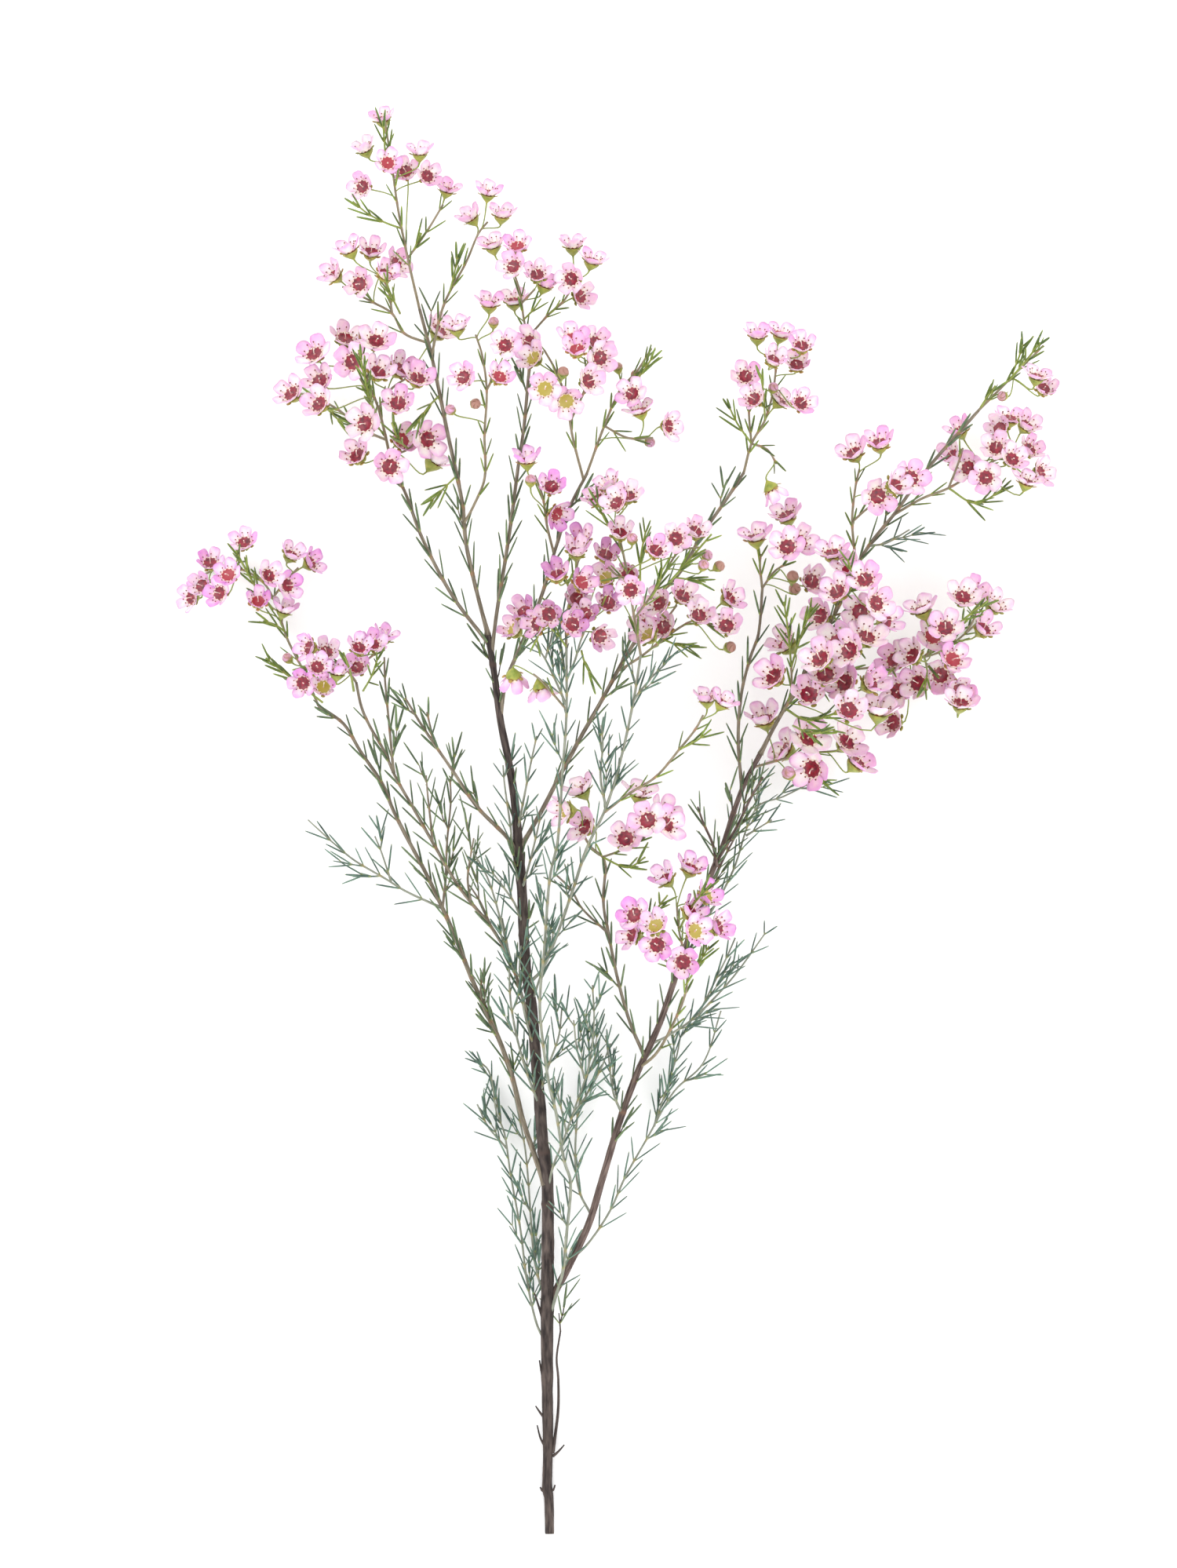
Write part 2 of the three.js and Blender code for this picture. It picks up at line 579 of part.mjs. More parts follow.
function readBlooms(part) {
  if (!part.blooms) return [];
  const words = part.blooms.split(" ").map((word) => word.split(","));
  const places = words.map(([across, down]) => spot(Number(across), Number(down), 0));
  const middle = places.reduce((sum, p) => sum.add(p), vec(0, 0, 0)).divideScalar(places.length);
  const spread = Math.max(...places.map((p) => p.distanceTo(middle)));
  const [low, high] = part.span;
  return places.map((at, i) => {
    const kind = words[i][2] ?? "o";
    const seed = Number(words[i][0]) + 3.7 * Number(words[i][1]);
    const out = at.clone().sub(middle).divideScalar(spread);
    const dome = 0.25 + 0.5 * (1 - Math.min(1, out.lengthSq())) + 0.25 * random(seed);
    at.z = low + (high - low) * dome;
    const lean = vec(random(seed + 1) - 0.5, random(seed + 2) - 0.5, 0);
    const stance = STANCES[kind] ?? STANCES.o;
    const facing = vec(
      stance.out[0] * out.x + stance.lean[0] * lean.x + stance.ahead[0],
      stance.out[1] * out.y + stance.lean[1] * lean.y + stance.ahead[1],
      stance.ahead[2] - (stance === STANCES.o ? OPEN_DIP * out.lengthSq() : 0),
    );
    return { part, kind, at, facing: facing.normalize(), spin: random(seed + 3) * Math.PI };
  });
}

const rimRadius = (bloom) => bloom.part.size * (bloom.kind === "b" ? BUD_RADIUS : BLOOM_RADIUS);

// Height over a bloom's cupped face, and distance from its axis.
function overFace(bloom, p) {
  const gap = p.clone().sub(bloom.at);
  const height = gap.dot(bloom.facing);
  const across = Math.sqrt(Math.max(0, gap.lengthSq() - height * height));
  const rise = (bloom.part.size * (CUP_RISE - DISC_SINK) * across) / rimRadius(bloom);
  return { height: height - rise, across };
}

function probes(bloom) {
  const reference = Math.abs(bloom.facing.y) < 0.8 ? vec(0, 1, 0) : vec(1, 0, 0);
  const lift = (amount) => bloom.at.clone().addScaledVector(bloom.facing, bloom.part.size * amount);
  const radius = rimRadius(bloom);
  return {
    rim: ringAround(lift(CUP_RISE - DISC_SINK), bloom.facing, reference, radius, 10, bloom.spin),
    inner: [
      ...ringAround(lift(1), bloom.facing, reference, 0.55 * radius, 5, bloom.spin),
      ...[0, -3, -6, -9].map(lift),
    ],
  };
}

function crossings(bloom, shape) {
  const radius = rimRadius(bloom);
  const rim = shape.rim.map((p) => overFace(bloom, p));
  let count = 0;
  rim.forEach((one, i) => {
    const next = rim[(i + 1) % rim.length];
    if (one.across < radius && Math.abs(one.height) < SLAB) count++;
    if (one.across < radius && next.across < radius && one.height * next.height < 0) count++;
  });
  for (const p of shape.inner) {
    const { height, across } = overFace(bloom, p);
    if (across < radius && Math.abs(height) < SLAB) count++;
  }
  return count;
}

function crowding(bloom, near) {
  const shape = probes(bloom);
  let count = 0;
  for (const other of near.blooms) {
    const weight = other.part === bloom.part ? 1 : 4;
    count += weight * (crossings(other, shape) + crossings(bloom, probes(other)));
  }
  for (const { point, own } of near.marks) {
    const { height, across } = overFace(bloom, point);
    const clear = own ? 0.5 : 2.5;
    if (across < rimRadius(bloom) + clear && height > -SLAB - clear && height < clear + 1)
      count += own ? 0.5 : 4;
  }
  return count;
}

// Each bloom in turn leans, rises or sinks to the least crowded of a few stances.
function turnBlooms(parts) {
  const all = parts.flatMap((part) => part.blooms);
  const marks = parts.flatMap((part) =>
    part.lines.flatMap((stem) => {
      const count = Math.ceil(stem.length / 3);
      return Array.from({ length: count + 1 }, (_, i) => ({
        part,
        point: stemAt(stem, (stem.length * i) / count).point,
      }));
    }));
  for (let pass = 0; pass < TURN_PASSES; pass++)
    for (const bloom of all) {
      const near = {
        blooms: all.filter((other) => other !== bloom && other.at.distanceTo(bloom.at) < 25),
        marks: marks.filter(({ point }) => point.distanceTo(bloom.at) < 14)
          .map(({ part, point }) => ({ point, own: part === bloom.part })),
      };
      const { at, facing } = bloom;
      let best = { at, facing, cost: crowding(bloom, near) };
      for (const shift of TURN_SHIFTS)
        for (const lean of TURN_LEANS)
          for (let k = 0; k < 8; k++) {
            if (best.cost === 0) break;
            const angle = (k * Math.PI) / 4;
            bloom.facing = vec(lean * Math.cos(angle), lean * Math.sin(angle), 0).add(facing);
            bloom.facing.normalize();
            bloom.at = at.clone().add(vec(0, 0, shift));
            const [low, high] = bloom.part.span;
            bloom.at.z = THREE.MathUtils.clamp(bloom.at.z, low, high);
            const cost = crowding(bloom, near) + 0.3 * lean + 0.02 * Math.abs(shift);
            if (cost < best.cost) best = { at: bloom.at, facing: bloom.facing, cost };
          }
      bloom.at = best.at;
      bloom.facing = best.facing;
    }
}

// The stalk leaves a stem of its own head from behind the bloom, past the other blooms.
function rootStalk(bloom) {
  const { size } = bloom.part;
  const reach = size * (bloom.kind === "b" ? BUD_LENGTH * 0.6 : CALYX_LENGTH + DISC_SINK);
  bloom.foot = bloom.at.clone().addScaledVector(bloom.facing, -reach);
  bloom.foot.z = Math.max(bloom.foot.z, 1.1);
  const beside = bloom.part.blooms.filter((other) => other !== bloom);
  const blocks = (point) => beside.filter((other) => {
    const low = overFace(other, point);
    const high = overFace(other, bloom.foot);
    const share = low.height / (low.height - high.height);
    const across = low.across + (high.across - low.across) * share;
    return low.height * high.height < 0 && across < rimRadius(other);
  }).length;
  let best = Infinity;
  for (const stem of bloom.part.lines) {
    const start = stem === bloom.part.lines[0] ? 7 : 2;
    for (let s = Math.min(start, stem.length * 0.6); s <= stem.length - 0.5; s += 1.5) {
      const { point, forward } = stemAt(stem, s);
      const gap = bloom.foot.clone().sub(point);
      const away = gap.length();
      const depth = bloom.at.clone().sub(point).dot(bloom.facing);
      const behind = 6 * Math.max(0, 0.3 - gap.dot(forward) / away) + 4 * Math.max(0, 6 - depth);
      const cost = Math.abs(away - size * STALK_LENGTH) + behind + 7 * blocks(point);
      if (cost < best) {
        best = cost;
        bloom.root = point;
      }
    }
  }
  const line = bloom.at.clone().sub(bloom.root);
  while (line.dot(bloom.facing) < LEAST_DEPTH)
    bloom.facing = bloom.facing.clone().addScaledVector(line, 0.2 / line.length()).normalize();
  bloom.foot = bloom.at.clone().addScaledVector(bloom.facing, -reach);
  bloom.foot.z = Math.max(bloom.foot.z, 1.1);
}

// A stem starts at the surface of the stem it grows on; the gap is cut afterwards.
function startAtSurface(stem, parent) {
  const reach = (point) => Math.min(...parent.points.slice(1).map((b, i) =>
    point.distanceTo(nearestOnSegment(point, parent.points[i], b)) - parent.radii[i]));
  let s = 0;
  while (s < START_SHIFT && reach(stemAt(stem, s).point) < -START_DEPTH) s += 0.25;
  const from = stemAt(stem, s);
  const kept = stem.points.map((_, i) => i).filter((i) => stem.along[i] > s + 1);
  return {
    points: [from.point, ...kept.map((i) => stem.points[i])],
    radii: [from.radius, ...kept.map((i) => stem.radii[i])],
    along: [0, ...kept.map((i) => stem.along[i] - s)],
    length: stem.length - s,
  };
}

// Rings every pair step along a stem; a fork starts on the middle line of the first stem.
function resample(stem, first) {
  const run = stem.length - TIP_STEP;
  const count = Math.max(1, Math.round(run / PAIR_STEP));
  const along = Array.from({ length: count + 1 }, (_, i) => (run * i) / count);
  along.push(stem.length);
  const stations = along.map((s) => stemAt(stem, s));
  const points = stations.map((station) => station.point);
  const radii = stations.map((station) => station.radius);
  if (first) {
    const feet = first.points.slice(1)
      .map((b, i) => nearestOnSegment(points[0], first.points[i], b))
      .sort((a, b) => a.distanceTo(stem.points[0]) - b.distanceTo(stem.points[0]));
    points[0] = feet[0];
  }
  return { points, radii, along, length: stem.length };
}

function placeNeedles(part, others) {
  const needles = [];
  if (!part.leaves) return needles;
  part.lines.forEach((stem, index) => {
    const from = index === 0 ? part.leaves[0] * stem.length : 3;
    const to = index === 0 ? part.leaves[1] * stem.length : stem.length;
    const frames = framesAlong(stem, part, index);
    for (let i = 1; i < stem.points.length - 1; i++) {
      if (stem.along[i] < from || stem.along[i] > to) continue;
      const { forward, reference, spin } = frames[i];
      for (const half of [0, 1]) {
        const face = (i + half * Math.floor(part.sides / 2)) % part.sides;
        const angle = spin + ((face + 0.5) * 2 * Math.PI) / part.sides;
        const seed = part.order * 31.7 + index * 7.3 + i + half * 0.37;
        const open = NEEDLE_OPEN[0] + (NEEDLE_OPEN[1] - NEEDLE_OPEN[0]) * random(seed);
        const length = NEEDLE_LENGTH[0] + (NEEDLE_LENGTH[1] - NEEDLE_LENGTH[0]) * random(seed + 5);
        const side = reference.clone().applyAxisAngle(forward, angle);
        const tip = stem.points[i].clone()
          .addScaledVector(forward, length * Math.cos(open))
          .addScaledVector(side, length * Math.sin(open));
        if (isClear(stem.points[i], tip, others)) needles.push({ stem, i, face, tip });
      }
    }
  });
  return needles;
}

function isClear(start, tip, others) {
  if (tip.z < 0.5) return false;
  for (let i = 1; i <= 8; i++) {
    const p = start.clone().lerp(tip, i / 8);
    for (const other of others) {
      if (!other.box.containsPoint(p)) continue;
      for (const stick of other.sticks) {
        const near = nearestOnSegment(p, stick.a, stick.b);
        if (p.distanceTo(near) < stick.radius + NEEDLE_CLEARANCE) return false;
      }
      for (const bloom of other.blooms) {
        const gap = p.clone().sub(bloom.at);
        const height = Math.abs(gap.dot(bloom.facing));
        const across = Math.sqrt(Math.max(0, gap.lengthSq() - height * height));
        if (height < 4.2 && across < BLOOM_RADIUS + NEEDLE_CLEARANCE) return false;
      }
    }
  }
  return true;
}

function outline(part) {
  const sticks = [];
  for (const stem of part.lines)
    for (let i = 1; i < stem.points.length; i++)
      sticks.push({ a: stem.points[i - 1], b: stem.points[i], radius: stem.radii[i - 1] });
  for (const bloom of part.blooms) {
    sticks.push({ a: bloom.root, b: bloom.foot, radius: STALK_RADIUS });
    sticks.push({ a: bloom.foot, b: bloom.at, radius: CALYX_RIM * 0.8 });
  }
  for (const { stem, i, tip } of part.needles)
    sticks.push({ a: stem.points[i], b: tip, radius: NEEDLE_WIDTH / 2 });
  const box = new THREE.Box3();
  for (const stick of sticks) box.expandByPoint(stick.a).expandByPoint(stick.b);
  return { sticks, blooms: part.blooms, box: box.expandByScalar(BLOOM_RADIUS + 2) };
}

// ---- closed surfaces ----
function ringAround(centre, forward, reference, radius, sides, spin = 0) {
  const u = reference.clone().addScaledVector(forward, -reference.dot(forward)).normalize();
  const v = forward.clone().cross(u);
  return Array.from({ length: sides }, (_, i) => {
    const angle = spin + (2 * Math.PI * i) / sides;
    const size = typeof radius === "function" ? radius(i) : radius;
    return centre.clone()
      .addScaledVector(u, size * Math.cos(angle))
      .addScaledVector(v, size * Math.sin(angle));
  });
}

class Surface {
  constructor() {
    this.points = [];
    this.faces = [];
  }

  add(points) {
    const first = this.points.length;
    this.points.push(...points);
    return points.map((_, i) => first + i);
  }

  // Joins two rings of any counts, each walked by its own share of the turn.
  bridge(low, high) {
    let i = 0;
    let j = 0;
    while (i < low.length || j < high.length) {
      const a = low[i % low.length];
      const b = high[j % high.length];
      const lowFirst = (i + 1) / low.length <= (j + 1) / high.length;
      if (j >= high.length || (i < low.length && lowFirst)) {
        i++;
        this.faces.push(a, low[i % low.length], b);
      } else {
        j++;
        this.faces.push(a, high[j % high.length], b);
      }
    }
  }

  fan(ring, apex, flip = false) {
    ring.forEach((a, i) => {
      const b = ring[(i + 1) % ring.length];
      this.faces.push(...(flip ? [b, a, apex] : [a, b, apex]));
    });
  }

  // A needle stands on the near end of a stem's face a, b, c, d.
  needle(a, b, c, d, tip) {
    const low = this.points[a].clone().add(this.points[b]).multiplyScalar(0.5);
    const high = this.points[c].clone().add(this.points[d]).multiplyScalar(0.5);
    const share = NEEDLE_FOOT / low.distanceTo(high);
    const [heel, point] = this.add([low.lerp(high, share), tip]);
    this.faces.push(a, b, point, b, heel, point, heel, a, point);
    this.faces.push(b, c, heel, c, d, heel, d, a, heel);
  }

  cap(ring, flip = false) {
    for (let i = 1; i < ring.length - 1; i++)
      this.faces.push(...(flip ? [ring[0], ring[i + 1], ring[i]] : [ring[0], ring[i], ring[i + 1]]));
  }

  solid() {
    const vertProperties = new Float32Array(this.points.flatMap((p) => [p.x, p.y, p.z]));
    const mesh = new wasm.Mesh({ numProp: 3, vertProperties, triVerts: new Uint32Array(this.faces) });
    return new wasm.Manifold(mesh);
  }
}

function framesAlong(stem, part, index) {
  const last = stem.points.length - 1;
  let reference = vec(0, 0, -1);
  const twist = part.leaves ? random(part.order * 3.1 + index) : 0;
  return stem.points.map((point, i) => {
    const before = stem.points[Math.max(0, i - 1)];
    const after = stem.points[Math.min(last, i + 1)];
    const forward = after.clone().sub(before).normalize();
    reference = reference.clone().addScaledVector(forward, -reference.dot(forward)).normalize();
    return { forward, reference, spin: Math.PI / part.sides + twist };
  });
}

function tube(stem, part, index, extra = 0) {
  const surface = new Surface();
  const { sides } = part;
  const last = stem.points.length - 1;
  const rings = framesAlong(stem, part, index).map(({ forward, reference, spin }, i) => {
    const end = i === 0 ? -extra : i === last ? extra : 0;
    const centre = stem.points[i].clone().addScaledVector(forward, end);
    const size = (stem.radii[i] + extra) / Math.cos(Math.PI / sides) ** 0.5;
    return surface.add(ringAround(centre, forward, reference, size, sides, spin));
  });
  surface.cap(rings[0], true);
  surface.cap(rings[last]);
  for (let i = 0; i < last; i++)
    for (let face = 0; face < sides; face++) {
      const a = rings[i][face];
      const b = rings[i][(face + 1) % sides];
      const c = rings[i + 1][(face + 1) % sides];
      const d = rings[i + 1][face];
      const needle = extra ? null
        : part.needles.find((one) => one.stem === stem && one.i === i && one.face === face);
      if (needle) surface.needle(a, b, c, d, needle.tip);
      else surface.faces.push(a, b, c, a, c, d);
    }
  return surface.solid();
}

function bloomSolid(bloom) {
  const surface = new Surface();
  const { root, foot, facing, at, spin } = bloom;
  const { size } = bloom.part;
  const reference = Math.abs(facing.y) < 0.8 ? vec(0, 1, 0) : vec(1, 0, 0);
  const lift = (amount) => foot.clone().addScaledVector(facing, amount);
  const stalk = foot.clone().sub(root).normalize();
  const turn = new THREE.Quaternion().setFromUnitVectors(facing, stalk);
  const across = reference.clone().addScaledVector(facing, -reference.dot(facing));
  const around = across.applyQuaternion(turn);
  const low = surface.add(ringAround(root, stalk, around, STALK_RADIUS, 3, spin));
  surface.cap(low, true);
  if (bloom.kind === "b") {
    const waist = surface.add(
      ringAround(lift(size * BUD_WAIST), facing, reference, size * BUD_RADIUS, 5, spin),
    );
    surface.bridge(low, waist);
    surface.fan(waist, surface.add([lift(size * BUD_LENGTH)])[0]);
    return surface.solid();
  }
  const drop = at.clone().sub(foot).dot(facing) - size * DISC_SINK;
  const rim = surface.add(ringAround(lift(drop), facing, reference, size * CALYX_RIM, 3, spin));
  const edge = ringAround(
    lift(drop), facing, reference, (i) => size * (i % 2 ? BLOOM_RADIUS : NOTCH_RADIUS), 10, spin,
  );
  edge.forEach((p, i) => p.addScaledVector(facing, size * (i % 2 ? CUP_RISE : NOTCH_RISE)));
  const petals = surface.add(edge);
  surface.bridge(low, rim);
  surface.bridge(rim, petals);
  surface.fan(petals, surface.add([lift(drop + size * DISC_SINK)])[0]);
  return surface.solid();
}

// ---- assembly ----
const parts = PARTS.map((entry, order) => ({
  ...entry,
  order,
  span: entry.span ?? [0, 0],
  size: entry.size ?? 1,
  sides: entry.sides ?? 3,
  lines: entry.stems.map(readStem),
  needles: [],
}));
for (const part of parts) {
  part.blooms = readBlooms(part);
  if (!part.leaves) continue;
  const parent = parts.find((other) => other.name === part.on);
  const [first, ...forks] = part.lines;
  part.lines = [resample(startAtSurface(first, parent.lines[0]))];
  part.lines.push(...forks.map((fork) => resample(fork, part.lines[0])));
}
settleHeights(parts);
turnBlooms(parts);
for (const part of parts) {
  part.blooms.forEach((bloom) => rootStalk(bloom));
  part.outline = outline(part);
}
for (const part of parts) {
  const others = parts.filter((other) => other !== part).map((other) => other.outline);
  part.needles = placeNeedles(part, others);
  part.outline = outline(part);
}

function solidOf(part) {
  const pieces = part.lines.map((stem, index) => tube(stem, part, index));
  pieces.push(...part.blooms.map(bloomSolid));
  let solid = wasm.Manifold.union(pieces);
  for (const earlier of parts.slice(0, part.order)) {
    if (!earlier.outline.box.intersectsBox(part.outline.box)) continue;
    earlier.lines.forEach((stem, index) => {
      solid = solid.subtract(tube(stem, earlier, index, NODE_GAP));
    });
  }
  solid = solid.trimByPlane([0, 0, 1], 0);
  const bodies = solid.simplify(SLIVER).decompose().sort((a, b) => b.volume() - a.volume());
  return bodies[0];
}

function meshOf(part) {
  const { vertProperties, triVerts, numProp } = solidOf(part).getMesh();
  const places = [];
  for (let i = 0; i < vertProperties.length; i += numProp)
    places.push(vertProperties[i], vertProperties[i + 1], vertProperties[i + 2]);
  const geometry = new THREE.BufferGeometry();
  geometry.setAttribute("position", new THREE.Float32BufferAttribute(places, 3));
  geometry.setIndex(new THREE.BufferAttribute(triVerts, 1));
  const [color, roughness] = COLOURS[part.colour ?? "petal"];
  const material = new THREE.MeshStandardMaterial({ color, roughness, metalness: 0 });
  const mesh = new THREE.Mesh(geometry, material);
  mesh.name = part.name;
  return mesh;
}

const stem = new THREE.Group();
stem.name = "waxflower_stem";
for (const part of parts) stem.add(meshOf(part));

export default stem;
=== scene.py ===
"""Waxflower stem: flowers, buds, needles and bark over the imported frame.

Everything is in metres in the frame's axes: +Y along the stem, +Z up from the surface it lies on.
"""

import logging
import math
from collections.abc import Callable
from dataclasses import dataclass, field
from enum import Enum
from functools import lru_cache
from typing import ClassVar

import bmesh
import bpy
import numpy as np
from mathutils import Matrix, Vector, noise
from mathutils.kdtree import KDTree


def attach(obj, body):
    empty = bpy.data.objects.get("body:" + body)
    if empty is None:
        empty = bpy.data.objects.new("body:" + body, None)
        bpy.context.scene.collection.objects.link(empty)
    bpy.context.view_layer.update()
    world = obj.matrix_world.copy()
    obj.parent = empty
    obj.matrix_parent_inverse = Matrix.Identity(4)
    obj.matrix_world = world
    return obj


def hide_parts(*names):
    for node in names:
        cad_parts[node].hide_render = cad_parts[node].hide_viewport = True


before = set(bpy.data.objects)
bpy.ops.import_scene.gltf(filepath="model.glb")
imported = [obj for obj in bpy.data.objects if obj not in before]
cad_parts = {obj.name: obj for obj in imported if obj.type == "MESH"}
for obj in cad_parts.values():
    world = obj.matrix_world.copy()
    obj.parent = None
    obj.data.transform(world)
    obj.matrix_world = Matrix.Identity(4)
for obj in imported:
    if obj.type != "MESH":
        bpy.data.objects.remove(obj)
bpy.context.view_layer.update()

log = logging.getLogger("waxflower")
Mesh = bmesh.types.BMesh
Socket = bpy.types.NodeSocket
Shaper = Callable[[Vector], Vector]

# ---- driving sizes ----
MM = 0.001
STEM_LENGTH = 600 * MM
LAYOUT_LENGTH = 1827
UNIT = STEM_LENGTH / LAYOUT_LENGTH  # metres in one layout unit
LAYOUT_MIDDLE = (785.0, 1048.5)  # layout point over the origin

CALYX_DEPTH = 6.3  # bloom's foot under the middle of its face, mm at size 1
BUD_DEPTH = 4.2
BUD_TIP = 2.8
BLOOM_RADIUS = 9.5
PETAL_TIP = math.hypot(BLOOM_RADIUS, 3.1)  # from the middle of the face
BUD_RADIUS = 3.1
BUD_EDGE = math.hypot(BUD_RADIUS, 3.2)  # from its tip to its waist
STALK_LENGTH = 10 * MM
STALK_STEPS = 7
LOWEST_FOOT = 1.1 * MM
LOWEST_STALK = 0.5 * MM

KNOT_REACH = 1.0 * MM
BRANCH_STEP = 2.2 * MM  # between two points of a rounded line
SPRAY_STEP = 2.0 * MM
FINE_SIDES = 5  # of a side twig, stub, tuft or stalk
FINE_SWELLING = 0.2

PICTURE = (1500, 1998)  # width and height of the framed view, in layout units
PICTURE_MIDDLE = (750.0, 999.0)


# ---- named options ----
class Growth(Enum):
    """What a stem is like at its age."""

    TRUNK = "trunk"
    LIMB = "limb"
    TWIG = "twig"
    SHOOT = "shoot"
    SPRAY = "spray"
    TUFT = "tuft"


class Kind(Enum):
    """How a bloom stands, or that it is a bud."""

    OPEN = "o"
    SIDE = "s"
    HANGING = "h"
    BUD = "b"
    YELLOW = "y"


class Shade(Enum):
    """How deep the pink of a head's petals is; the mauve one is a darker, more purple copy of the petal
    colours with painted shade.
    """

    PALE = "pale"
    LILAC = "lilac"
    # darker, more purple petal colours that paint the shade over a head lying in shadow
    MAUVE_PAINTED_SHADE = "mauve"


class FlowerSkin(Enum):
    """Which finish of a head's flowers a face wears."""

    PETAL = 0
    DISC = 1
    STAMEN = 2
    BUD = 3
    PETAL_BACK = 4


class GreenSkin(Enum):
    """Which finish of a head's green parts a face wears."""

    CUP = 0
    NEEDLE = 1


class TwigSkin(Enum):
    """Which finish of a piece of wood a face wears."""

    BARK = 0
    CUT = 1  # of a branch
    STALK = 1  # of a head


# ---- seeded numbers and places ----
def chance(seed: float) -> float:
    """The same number from 0 to 1 for the same seed."""
    value = math.sin(seed * 127.1) * 43758.5453
    return value - math.floor(value)


def between(low: float, high: float, seed: float) -> float:
    """A seeded number from low to high."""
    return low + (high - low) * chance(seed)


def spot(across: float, down: float, height: float = 0.0) -> Vector:
    """The point of a layout place.

    Args:
        across: layout units to the right.
        down: layout units downwards.
        height: millimetres over the surface.

    Returns:
        The point in metres.
    """
    x = (across - LAYOUT_MIDDLE[0]) * UNIT
    y = (LAYOUT_MIDDLE[1] - down) * UNIT
    return Vector((x, y, height * MM))


# ---- lines ----
@dataclass
class Station:
    """A place on a line."""

    point: Vector
    forward: Vector
    radius: float


@dataclass
class Line:
    """A stem's middle line with its radius at each point."""

    points: list[Vector]
    radii: list[float]
    along: list[float] = field(init=False)

    def __post_init__(self) -> None:
        """Measures the way from the start to each point."""
        self.along = [0.0]
        for before, after in zip(self.points, self.points[1:]):
            self.along.append(self.along[-1] + (after - before).length)

    @property
    def length(self) -> float:
        """The line's whole length."""
        return self.along[-1]

    @classmethod
    def read(cls, text: str) -> "Line":
        """Reads "across,down,height[,radius]" words.

        Args:
            text: the words; a radius holds until the next one is named, and changes evenly.

        Returns:
            The line in metres.
        """
        rows = [[float(number) for number in word.split(",")] for word in text.split()]
        line = cls([spot(*row[:3]) for row in rows], [0.0] * len(rows))
        known = [i for i, row in enumerate(rows) if len(row) > 3]
        places = [line.along[i] for i in known]
        radii = [rows[i][3] * MM for i in known]
        line.radii = [float(np.interp(s, places, radii)) for s in line.along]
        return line

    @classmethod
    def read_all(cls, text: str, step: float) -> list["Line"]:
        """Reads the lines of a text, with ";" between them, and rounds them by a step."""
        return [cls.read(part).rounded(step) for part in text.split(";") if part]

    def at(self, distance: float) -> Station:
        """The station at a distance from the start.

        Args:
            distance: in metres.

        Returns:
            The station.
        """
        i = 1
        while i < len(self.along) - 1 and self.along[i] < distance:
            i += 1
        run = self.along[i] - self.along[i - 1]
        share = (distance - self.along[i - 1]) / run
        low, high = self.points[i - 1], self.points[i]
        radius = self.radii[i - 1] + (self.radii[i] - self.radii[i - 1]) * share
        return Station(low.lerp(high, share), (high - low).normalized(), radius)

    def rounded(self, step: float) -> "Line":
        """The same line bent smoothly through its points.

        Args:
            step: the longest distance between two new points.

        Returns:
            The finer line.
        """
        last = len(self.points) - 1
        turns = []
        for i in range(last + 1):
            turn = self.points[min(last, i + 1)] - self.points[max(0, i - 1)]
            turns.append(turn.normalized())
        points, radii = [self.points[0].copy()], [self.radii[0]]
        for i in range(last):
            run = self.along[i + 1] - self.along[i]
            count = max(1, math.ceil(run / step))
            for k in range(1, count + 1):
                share = k / count
                points.append(
                    bend(self.points[i], turns[i] * run, self.points[i + 1], turns[i + 1] * run, share)
                )
                radii.append(self.radii[i] + (self.radii[i + 1] - self.radii[i]) * share)
        return Line(points, radii)


def bend(start: Vector, leaving: Vector, end: Vector, coming: Vector, share: float) -> Vector:
    """A point on the smooth curve between two points.

    Args:
        start: first point.
        leaving: direction and pull at the first point.
        end: last point.
        coming: direction and pull at the last point.
        share: 0 at the start and 1 at the end.

    Returns:
        The point.
    """
    square, cube = share * share, share**3
    return (
        start * (2 * cube - 3 * square + 1)
        + leaving * (cube - 2 * square + share)
        + end * (3 * square - 2 * cube)
        + coming * (cube - square)
    )


def level(direction: Vector, hint: Vector) -> Vector:
    """The part of a hint that is square to a direction.

    Args:
        direction: a unit vector.
        hint: which way the result leans.

    Returns:
        That part, as a unit vector.
    """
    side = hint - direction * hint.dot(direction)
    if side.length < 1e-6:
        side = direction.orthogonal()
    return side.normalized()


def axes(origin: Vector, x_axis: Vector, z_axis: Vector, scale: Vector) -> Matrix:
    """The matrix that puts a template in place.

    Args:
        origin: where its origin goes.
        x_axis: unit direction of its x.
        z_axis: unit direction of its z, square to x_axis.
        scale: how much it grows along x, y and z.

    Returns:
        The matrix.
    """
    y_axis = z_axis.cross(x_axis)
    columns = (x_axis * scale.x, y_axis * scale.y, z_axis * scale.z)
    turn = Matrix(columns).transposed().to_4x4()
    turn.translation = origin
    return turn


# ---- mesh helpers ----
def wear(bm: Mesh, skin: Enum) -> None:
    """Puts one finish on all faces."""
    for face in bm.faces:
        face.material_index = skin.value


